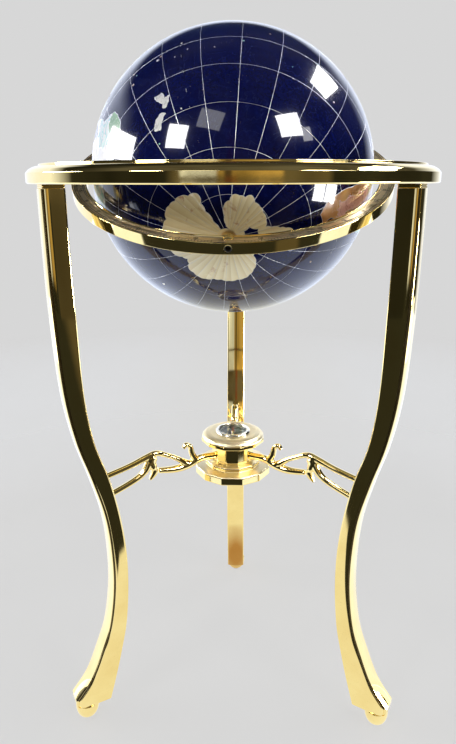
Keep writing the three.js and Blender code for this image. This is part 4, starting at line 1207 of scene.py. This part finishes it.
# Small islands as (longitude, latitude, size in degrees).
ISLETS = [
    (178, -17.8, 1.1), (179.5, -16.6, 0.8), (-172.2, -13.6, 0.8), (-149.4, -17.6, 0.9), (-175, -21, 0.6),
    (166, -21.3, 1.2), (167, -15.5, 0.8), (168.3, -17.8, 0.6), (160, -9.5, 1.0), (-155.6, 19.7, 1.1),
    (-157.9, 21.4, 0.6), (-90.8, -0.5, 0.9), (-58.5, -51.8, 1.3), (-36.8, -54.4, 0.9), (69.4, -49.2, 1.2),
    (57.5, -20.3, 0.7), (55.5, -21.1, 0.6), (-15.6, 28.2, 0.7), (-17, 32.8, 0.5), (-25.5, 37.8, 0.6),
    (-5.7, -16, 0.5), (144.8, 13.5, 0.6), (134.5, 7.5, 0.5), (-66.3, 18.2, 0.8), (-77.3, 18.1, 0.9),
    (9, 40, 1.0), (9.1, 42.1, 0.8), (14.2, 37.5, 1.1), (33.2, 35.1, 0.8), (24.9, 35.2, 0.9),
    (109.8, 19.2, 1.1), (121, 23.8, 1.2), (92.8, 12, 0.7), (-140, -8.9, 0.6), (-109.4, -27.1, 0.6),
    (-130, -25, 0.5), (-169.9, -19, 0.5), (-159.8, -21.2, 0.6), (158.2, 6.9, 0.5), (166.2, -50.7, 0.6),
    (-176.5, -44, 0.6), (151.5, -5.3, 1.2), (128, -8, 0.9), (135, 34, 0.8),
]
GRID = 1.3  # degrees between the points that fill a land
POLAR_LAND = "antarctica"  # the land that the south pole's bush stands in, with a scalloped coast
JAG = 0.16  # how far a rough coast is pushed in and out, as a share of each side's length
JAGS = {"south_america": 0.05}


class Chart:
    """Flattens the ball round a centre, keeping distances from it, in degrees."""

    def __init__(self, outline):
        spots = [on_ball(*spot) for spot in outline]
        self.centre = sum(spots, Vector()).normalized()
        side = Vector((0, 0, 1)) if abs(self.centre.z) < 0.9 else Vector((1, 0, 0))
        self.east = side.cross(self.centre).normalized()
        self.north = self.centre.cross(self.east)

    def flat(self, spot):
        away = math.degrees(self.centre.angle(spot))
        run = Vector((spot.dot(self.east), spot.dot(self.north)))
        return run.normalized() * away if run.length > 1e-9 else Vector((0, 0))

    def ball(self, point):
        away = math.radians(point.length)
        if away < 1e-9:
            return self.centre.copy()
        run = point.normalized()
        return self.centre * math.cos(away) + (self.east * run.x + self.north * run.y) * math.sin(away)


def roughened(outline, chance, jag, shortest=0.8):
    """Breaks each side of an outline into short ones, pushed in and out at random."""
    made = []
    for start, end in zip(outline, outline[1:] + outline[:1]):
        line = [start, end]
        while (line[1] - line[0]).length > shortest:
            finer = []
            for a, b in zip(line, line[1:]):
                run = b - a
                push = Vector((-run.y, run.x)) * chance.uniform(-jag, jag)
                finer += [a, (a + b) / 2 + push]
            line = finer + [end]
        made += line[:-1]
    return made


def scalloped(outline, bulge=0.13):
    """Bows each side of an outline outward in a shallow arc, as on a row of shells."""
    area = sum(a.x * b.y - b.x * a.y for a, b in zip(outline, outline[1:] + outline[:1]))
    outward = -1 if area > 0 else 1
    made = []
    for a, b in zip(outline, outline[1:] + outline[:1]):
        run = b - a
        push = Vector((-run.y, run.x)) * bulge * outward
        steps = max(2, round(run.length / 0.5))
        made += [a + run * (i / steps) + push * 4 * (i / steps) * (1 - i / steps) for i in range(steps)]
    return made


def in_pole_hole(spot):
    return math.hypot(spot.x, spot.y) * STONE_R < POLE_HOLE + 0.05


def clear_of_pole(chart, point):
    spot = chart.ball(point)
    return math.hypot(spot.x, spot.y) * STONE_R > POLE_HOLE + 2


def pole_ring(chart):
    """The rim of the hole for the south pole's bush."""
    lat = -math.degrees(math.acos(POLE_HOLE / STONE_R))
    return [chart.flat(on_ball(lon, lat)) for lon in range(0, 360, 12)]


def inside(point, outline):
    x, y = point
    hit = False
    for a, b in zip(outline, outline[1:] + outline[:1]):
        if (a.y > y) != (b.y > y) and x < (b.x - a.x) * (y - a.y) / (b.y - a.y) + a.x:
            hit = not hit
    return hit


def fill_points(outline, chance):
    low = [min(p[i] for p in outline) for i in (0, 1)]
    high = [max(p[i] for p in outline) for i in (0, 1)]
    made = []
    rows = int((high[1] - low[1]) / GRID) + 1
    columns = int((high[0] - low[0]) / GRID) + 1
    for row in range(rows):
        for column in range(columns):
            x = low[0] + (column + 0.5 * (row % 2) + chance.uniform(-0.25, 0.25)) * GRID
            y = low[1] + (row + chance.uniform(-0.25, 0.25)) * GRID
            if inside((x, y), outline):
                made.append(Vector((x, y)))
    return made


class Inlay:
    """Gathers patches of each stone and the wires between them, then builds one closed mesh of each."""

    def __init__(self):
        self.patches = {stone: [] for stone in STONES}
        self.wires = []

    def land(self, name, outline, regions):
        chance = random.Random(len(name) * 1000 + len(outline))
        chart = Chart(outline)
        corners = [chart.flat(on_ball(*spot)) for spot in outline]
        polar = name == POLAR_LAND
        coast = scalloped(corners) if polar else roughened(corners, chance, JAGS.get(name, JAG))
        hole = pole_ring(chart) if polar else []
        fill = [point for point in fill_points(coast, chance) if not hole or clear_of_pole(chart, point)]
        count = len(coast)
        loops = [list(range(count))]
        rim = [(count + i, count + (i + 1) % len(hole)) for i in range(len(hole))]
        points, _, faces, _, _, _ = delaunay_2d_cdt(coast + hole + fill, rim, loops, 1, 1e-6)
        spots = [chart.ball(point) for point in points]
        if hole:
            faces = [face for face in faces if not all(in_pole_hole(spots[corner]) for corner in face)]
        seeds = [(on_ball(*spot), index) for index, (_, near) in enumerate(regions) for spot in near]
        owner = {}
        groups = {}
        for number, face in enumerate(faces):
            middle = sum((spots[corner] for corner in face), Vector())
            region = max(seeds, key=lambda seed: seed[0].dot(middle))[1]
            groups.setdefault(region, []).append(face)
            for a, b in zip(face, face[1:] + face[:1]):
                owner.setdefault((min(a, b), max(a, b)), []).append(region)
        for region, members in groups.items():
            self.patches[regions[region][0]].append((spots, members))
        for (a, b), regions_here in owner.items():
            if len(regions_here) == 1 or regions_here[0] != regions_here[1]:
                self.wires.append((spots[a], spots[b]))

    def islet(self, lon, lat, size, stone):
        chance = random.Random(int(lon * 10) + int(lat * 100))
        corners = 7
        outline = []
        for corner in range(corners):
            angle = math.tau * corner / corners
            reach = size * chance.uniform(0.3, 0.62)
            along = reach * math.cos(angle) / math.cos(math.radians(lat))
            outline.append((lon + along, lat + reach * math.sin(angle)))
        spots = [on_ball(*spot) for spot in outline]
        self.patches[stone].append((spots, [list(range(corners))]))

    def build(self):
        for stone, patches in self.patches.items():
            points, faces = [], []
            for spots, members in patches:
                add_patch(points, faces, spots, members)
            if faces:
                piece(f"ball_stone_{stone}", points, faces, STONES[stone], "globe", matrix=TILTED, sharp=40)


def add_patch(points, faces, spots, members):
    """A closed shell over a patch of the ball: top, underside and walls."""
    used = sorted({corner for face in members for corner in face})
    top = {corner: len(points) + i for i, corner in enumerate(used)}
    points += [spots[corner] * STONE_R for corner in used]
    low = {corner: len(points) + i for i, corner in enumerate(used)}
    points += [spots[corner] * (OCEAN_R - 0.5) for corner in used]
    sides = set()
    for face in members:
        faces.append([top[corner] for corner in face])
        faces.append([low[corner] for corner in reversed(face)])
        for a, b in zip(face, face[1:] + face[:1]):
            sides.add((a, b))
    for a, b in sorted(sides):
        if (b, a) not in sides:
            faces.append([top[b], top[a], low[a], low[b]])


def wire_ring(spot, across, up, radius):
    """A six-sided section round a point on a wire."""
    angles = [math.tau * side / WIRE_SIDES for side in range(WIRE_SIDES)]
    return [spot + (across * math.cos(angle) + up * math.sin(angle)) * radius for angle in angles]


def wire_net(name, segments, radius, centre, finish):
    """Short six-sided rods along segments on the ball, gathered in one piece."""
    points, faces = [], []
    for start, end in segments:
        run = end - start
        if run.length < 1e-6:
            continue
        reach = run.normalized() * (0.3 * radius / BALL_R)
        a, b = (start - reach) * centre, (end + reach) * centre
        up = (a + b).normalized()
        across = up.cross(b - a).normalized()
        rod_points, rod_faces = skin([wire_ring(spot, across, up, radius) for spot in (a, b)], len(points))
        points += rod_points
        faces += rod_faces
    piece(name, points, faces, finish, "globe", matrix=TILTED, sharp=70)


def tube_lines(name, lines, radius, centre, finish):
    """Smooth thin tubes along lines of points on the ball. A line whose ends meet is closed."""
    points, faces = [], []
    for line, closed in lines:
        first = len(points)
        count = len(line)
        rings = []
        for index, spot in enumerate(line):
            before = line[index - 1] if index or closed else spot
            after = line[(index + 1) % count] if index < count - 1 or closed else spot
            up = spot.normalized()
            across = up.cross(after - before).normalized()
            rings.append(wire_ring(spot * centre, across, up, radius))
        tube_points, tube_faces = skin(rings, first)
        if closed:
            tube_faces = tube_faces[:-2] + wall(first + (count - 1) * WIRE_SIDES, first, WIRE_SIDES)
        points += tube_points
        faces += tube_faces
    piece(name, points, faces, finish, "globe", matrix=TILTED, sharp=70)


def graticule():
    centre = OCEAN_R - 0.07
    lines = []
    for step in range(360 // GRATICULE):
        lon = step * GRATICULE
        top = 75 if step % 6 else 86
        lines.append(([on_ball(lon, lat) for lat in range(-68, top + 1, 2)], False))
    for lat in range(-75, 76, GRATICULE):
        lines.append(([on_ball(lon, lat) for lon in range(0, 360, 3)], True))
    date_line = [(180, -5), (-172.5, -15), (-172.5, -22), (-172.5, -30), (-172.5, -38), (-172.5, -45),
                 (180, -45)]
    lines.append(([on_ball(*spot) for spot in date_line], False))
    tube_lines("ball_graticule_wires", lines, WIRE_R, centre, WIRE)
    polar = [([on_ball(lon, lat) for lat in range(-86, -67, 2)], False) for lon in range(0, 360, GRATICULE)]
    tube_lines("ball_polar_wires", polar, WIRE_R, STONE_R - 0.07, WIRE)


def ball():
    ocean()
    inlay = Inlay()
    for name, outline in LANDS.items():
        whole = [(WHOLE.get(name, "agate"), outline[:1])]
        inlay.land(name, outline, REGIONS.get(name, whole))
    kinds = ["marble", "agate", "howlite", "amazonite"]
    for index, (lon, lat, size) in enumerate(ISLETS):
        inlay.islet(lon, lat, size, kinds[index % len(kinds)])
    inlay.build()
    wire_net("ball_border_wires", inlay.wires, BORDER_WIRE_R, STONE_R - 0.15, WIRE)
    graticule()


# ---- stage -----------------------------------------------------------------------------------------------
PALE = 0.68
FLOOR_GLOW = 0.59
FLOOR_BOUNCE = 1.1
DARK = rgb(0.030, 0.030, 0.020)
OLIVE = rgb(0.105, 0.088, 0.050)
TAN = rgb(0.150, 0.125, 0.075)
WARM = rgb(0.20, 0.075, 0.035)
GOLD = rgb(0.60, 0.42, 0.14)
ROOM_HIGH = rgb(0.135, 0.130, 0.110)
FLOOR_MIDDLE = rgb(0.96, 0.95, 0.84)
FLOOR_SIDES = rgb(1.20, 1.30, 1.50)
SHADED = rgb(0.50, 0.30, 0.14)
WALL = rgb(1.10, 1.18, 1.36)
WALL_FACING = (-0.358, 0.934, 0.0)


def bearing(graph, x, y):
    """Where a direction or a place in front lies from left to right, 0.5 being the middle."""
    slant = graph.math("DIVIDE", x, graph.math("MAXIMUM", graph.math("MULTIPLY", y, -1.0), 0.05))
    return graph.math("ADD", graph.math("MULTIPLY", slant, 0.25), 0.5)


def low_front(graph, across):
    """The dark foreground, with an olive stretch to the right."""
    return graph.ramp(across, (0.665, DARK), (0.685, OLIVE), (0.80, OLIVE), (0.84, DARK))


def pick(graph, chooser, first, second):
    """Mixes two shaders."""
    node = graph.nodes.new("ShaderNodeMixShader")
    graph.link(chooser, node.inputs[0])
    graph.link(first, node.inputs[1])
    graph.link(second, node.inputs[2])
    return node.outputs[0]


def stage():
    """A plain pale floor that fades into the backdrop. Mirrors see it end in the room, a little in front."""
    points, faces = turned_mesh([(0, -20), (2400, -20), (2400, -0.2), (0, -0.2)], 128)
    mesh = bpy.data.meshes.new("floor")
    mesh.from_pydata([Vector(p) * MM for p in points], [], faces)
    floor = bpy.data.objects.new("floor", mesh)
    bpy.context.scene.collection.objects.link(floor)
    finish = Finish("pale_floor", Roughness=0.9, Specular_IOR_Level=0.0, Emission_Strength=FLOOR_GLOW)
    finish.shader.inputs["Emission Color"].default_value = rgb(1, 1, 1)
    grain = finish.noise(6, 3)
    finish.feed("Base Color", finish.ramp(grain, (0.3, rgb(0.10, 0.10, 0.10)), (0.7, rgb(0.11, 0.11, 0.11))))
    away = finish.math("MULTIPLY", finish.vector("LENGTH", finish.place), 0.4)
    clear = finish.nodes.new("ShaderNodeBsdfTransparent").outputs[0]
    faded = pick(finish, finish.ramp(away, (0.25, 0.0), (0.85, 1.0)), finish.shader.outputs[0], clear)
    x, y, _ = finish.along()
    across = finish.math("ADD", finish.math("MULTIPLY", x, 0.5), 0.5)
    limit = finish.ramp(across, (0.05, 0.10), (0.18, 0.14), (0.28, 0.10), (0.375, 0.05), (0.545, 0.118),
                        (0.60, 0.14), (0.675, 0.10))
    inward = finish.math("SUBTRACT", finish.math("ADD", y, 1.0), limit)
    # A painted shadow: mirrors see the floor brown round the back foot.
    near = finish.math("MULTIPLY", finish.vector("DISTANCE", finish.place, (0, 0.15, 0)), 5.0)
    sides = finish.ramp(finish.math("ABSOLUTE", x), (0.15, FLOOR_MIDDLE), (0.42, FLOOR_SIDES))
    pale = finish.mix(finish.ramp(near, (0.10, 1.0), (0.42, 0.0)), sides, SHADED)
    rays = finish.nodes.new("ShaderNodeLightPath").outputs
    glow = finish.nodes.new("ShaderNodeEmission")
    front = low_front(finish, bearing(finish, x, y))
    on_floor = finish.ramp(inward, (0.525, 0.0), (0.542, 1.0))
    finish.link(finish.mix(on_floor, front, pale), glow.inputs["Color"])
    bounce = finish.math("MULTIPLY", rays["Is Diffuse Ray"], FLOOR_BOUNCE)
    finish.link(finish.math("ADD", bounce, 1.0), glow.inputs["Strength"])
    seen = pick(finish, rays["Is Camera Ray"], glow.outputs[0], faded)
    finish.link(seen, finish.nodes["Material Output"].inputs["Surface"])
    mesh.materials.append(finish.material)


def surroundings():
    """Mirrors see a dim room in front and pale walls elsewhere. The eye sees plain pale grey."""
    world = bpy.data.worlds.new("room")
    bpy.context.scene.world = world
    world.use_nodes = True
    world.node_tree.nodes.clear()
    graph = Graph(world.node_tree, "Generated")
    x, y, z = graph.along()
    across = bearing(graph, x, y)
    level = graph.ramp(across, (0.34, DARK), (0.38, TAN), (0.484, TAN), (0.494, WARM), (0.512, WARM),
                       (0.522, TAN), (0.80, TAN), (0.84, DARK))
    streaks = graph.ramp(across, (0.47, WALL), (0.474, GOLD), (0.486, GOLD), (0.49, OLIVE), (0.502, OLIVE),
                         (0.508, GOLD))
    off_level = graph.ramp(graph.math("ABSOLUTE", z), (0.004, 0.0), (0.008, 1.0), (0.15, 1.0), (0.18, 0.0))
    middle = graph.ramp(across, (0.38, 0.0), (0.39, 1.0), (0.62, 1.0), (0.63, 0.0))
    raised = graph.math("ADD", z, 0.5)
    low_or_level = graph.mix(graph.ramp(raised, (0.46, 0.0), (0.48, 1.0)), low_front(graph, across), level)
    front = graph.mix(graph.math("MULTIPLY", middle, off_level), low_or_level, streaks)
    behind = graph.ramp(graph.vector("DOT_PRODUCT", graph.place, WALL_FACING), (0.34, 0.0), (0.62, 1.0))
    high = graph.mix(behind, ROOM_HIGH, DARK)
    dim = graph.mix(graph.ramp(z, (0.25, 0.0), (0.60, 1.0)), front, high)
    clutter = graph.ramp(graph.noise(2.6, 1), (0.36, 0.5), (0.64, 1.0))
    not_high = graph.ramp(z, (0.44, 1.0), (0.56, 0.0))
    room = graph.mix(graph.math("MULTIPLY", behind, not_high), graph.mix(1.0, dim, clutter, "MULTIPLY"), WALL)
    back = graph.nodes.new("ShaderNodeBackground")
    rays = graph.nodes.new("ShaderNodeLightPath").outputs
    graph.link(graph.mix(rays["Is Camera Ray"], room, rgb(PALE, PALE, PALE)), back.inputs["Color"])
    output = graph.nodes.new("ShaderNodeOutputWorld")
    graph.link(back.outputs[0], output.inputs["Surface"])


def window(name, azimuth, elevation, distance, width, height, radiance, roll=0.0, seen_by="all"):
    """A soft rectangular light facing the ball. Azimuth is measured from the front, to the right."""
    a, e = math.radians(azimuth), math.radians(elevation)
    out = Vector((math.sin(a) * math.cos(e), -math.cos(a) * math.cos(e), math.sin(e)))
    data = bpy.data.lights.new(name, "AREA")
    data.shape = "RECTANGLE"
    data.size = width
    data.size_y = height
    data.energy = radiance * math.pi * width * height
    light = bpy.data.objects.new(name, data)
    bpy.context.scene.collection.objects.link(light)
    light.location = HINGE + out * distance
    rolled = Quaternion((0, 0, 1), math.radians(roll))
    light.rotation_euler = (out.to_track_quat("Z", "Y") @ rolled).to_euler()
    light.visible_camera = False
    light.visible_glossy = seen_by != "matt"
    light.visible_diffuse = seen_by != "mirrors"


# Name, azimuth, elevation, distance, width, height, brightness in mirrors, brightness on matt things, roll.
WINDOWS = [
    ("far_left", -95, 14, 1.7, 0.98, 0.40, 30, 14, 0),
    ("left", -42, 24, 1.7, 0.44, 0.46, 36, 16, 0),
    ("middle", -17, 37, 1.8, 0.52, 0.42, 4, 3, -10),
    ("right", 48, 31, 1.7, 0.50, 0.44, 36, 16, 0),
    ("right_dim", 61, 24, 1.9, 0.26, 0.28, 8, 2, 0),
    ("far_right", 114, 42, 1.7, 0.72, 0.34, 34, 14, -12),
    ("low_right", 69, -11, 1.6, 0.28, 0.30, 36, 16, 0),
    ("low_far_right", 83, -11, 1.6, 0.44, 0.29, 36, 16, 0),
    ("skirting_left", -104, -21, 1.65, 1.2, 0.32, 1.7, 0, 0),
    ("skirting_right", 104, -21, 1.65, 1.2, 0.32, 1.7, 0, 0),
]


def lights():
    for name, azimuth, elevation, distance, width, height, mirrored, matt_light, roll in WINDOWS:
        place = (azimuth, elevation, distance, width, height)
        window(f"window_{name}", *place, mirrored, roll, "mirrors")
        window(f"fill_{name}", *place, matt_light, roll, "matt")
    window("overhead", 0, 89.9, 2.2, 2.6, 2.6, 0.9, 0, "matt")


# ---- build -----------------------------------------------------------------------------------------------
HIDDEN = ("leg_stud_", "arm_stud_", "hub_arm_screw_")


def carried_nodes():
    """Studs and screws inside the castings keep their frame shape, with a steel finish."""
    for name in frame["nodes"]:
        if not name.startswith(HIDDEN):
            continue
        node = frame["nodes"][name]
        node.data.materials.clear()
        node.data.materials.append(STEEL)


horizon_ring()
pivots()
legs()
stretcher_arms()
hub()
compass()
gimbal_ring()
scale_marks()
scale_numbers()
pole_parts()
ball()
carried_nodes()
stage()
surroundings()
lights()
bpy.context.scene.view_settings.view_transform = "Standard"
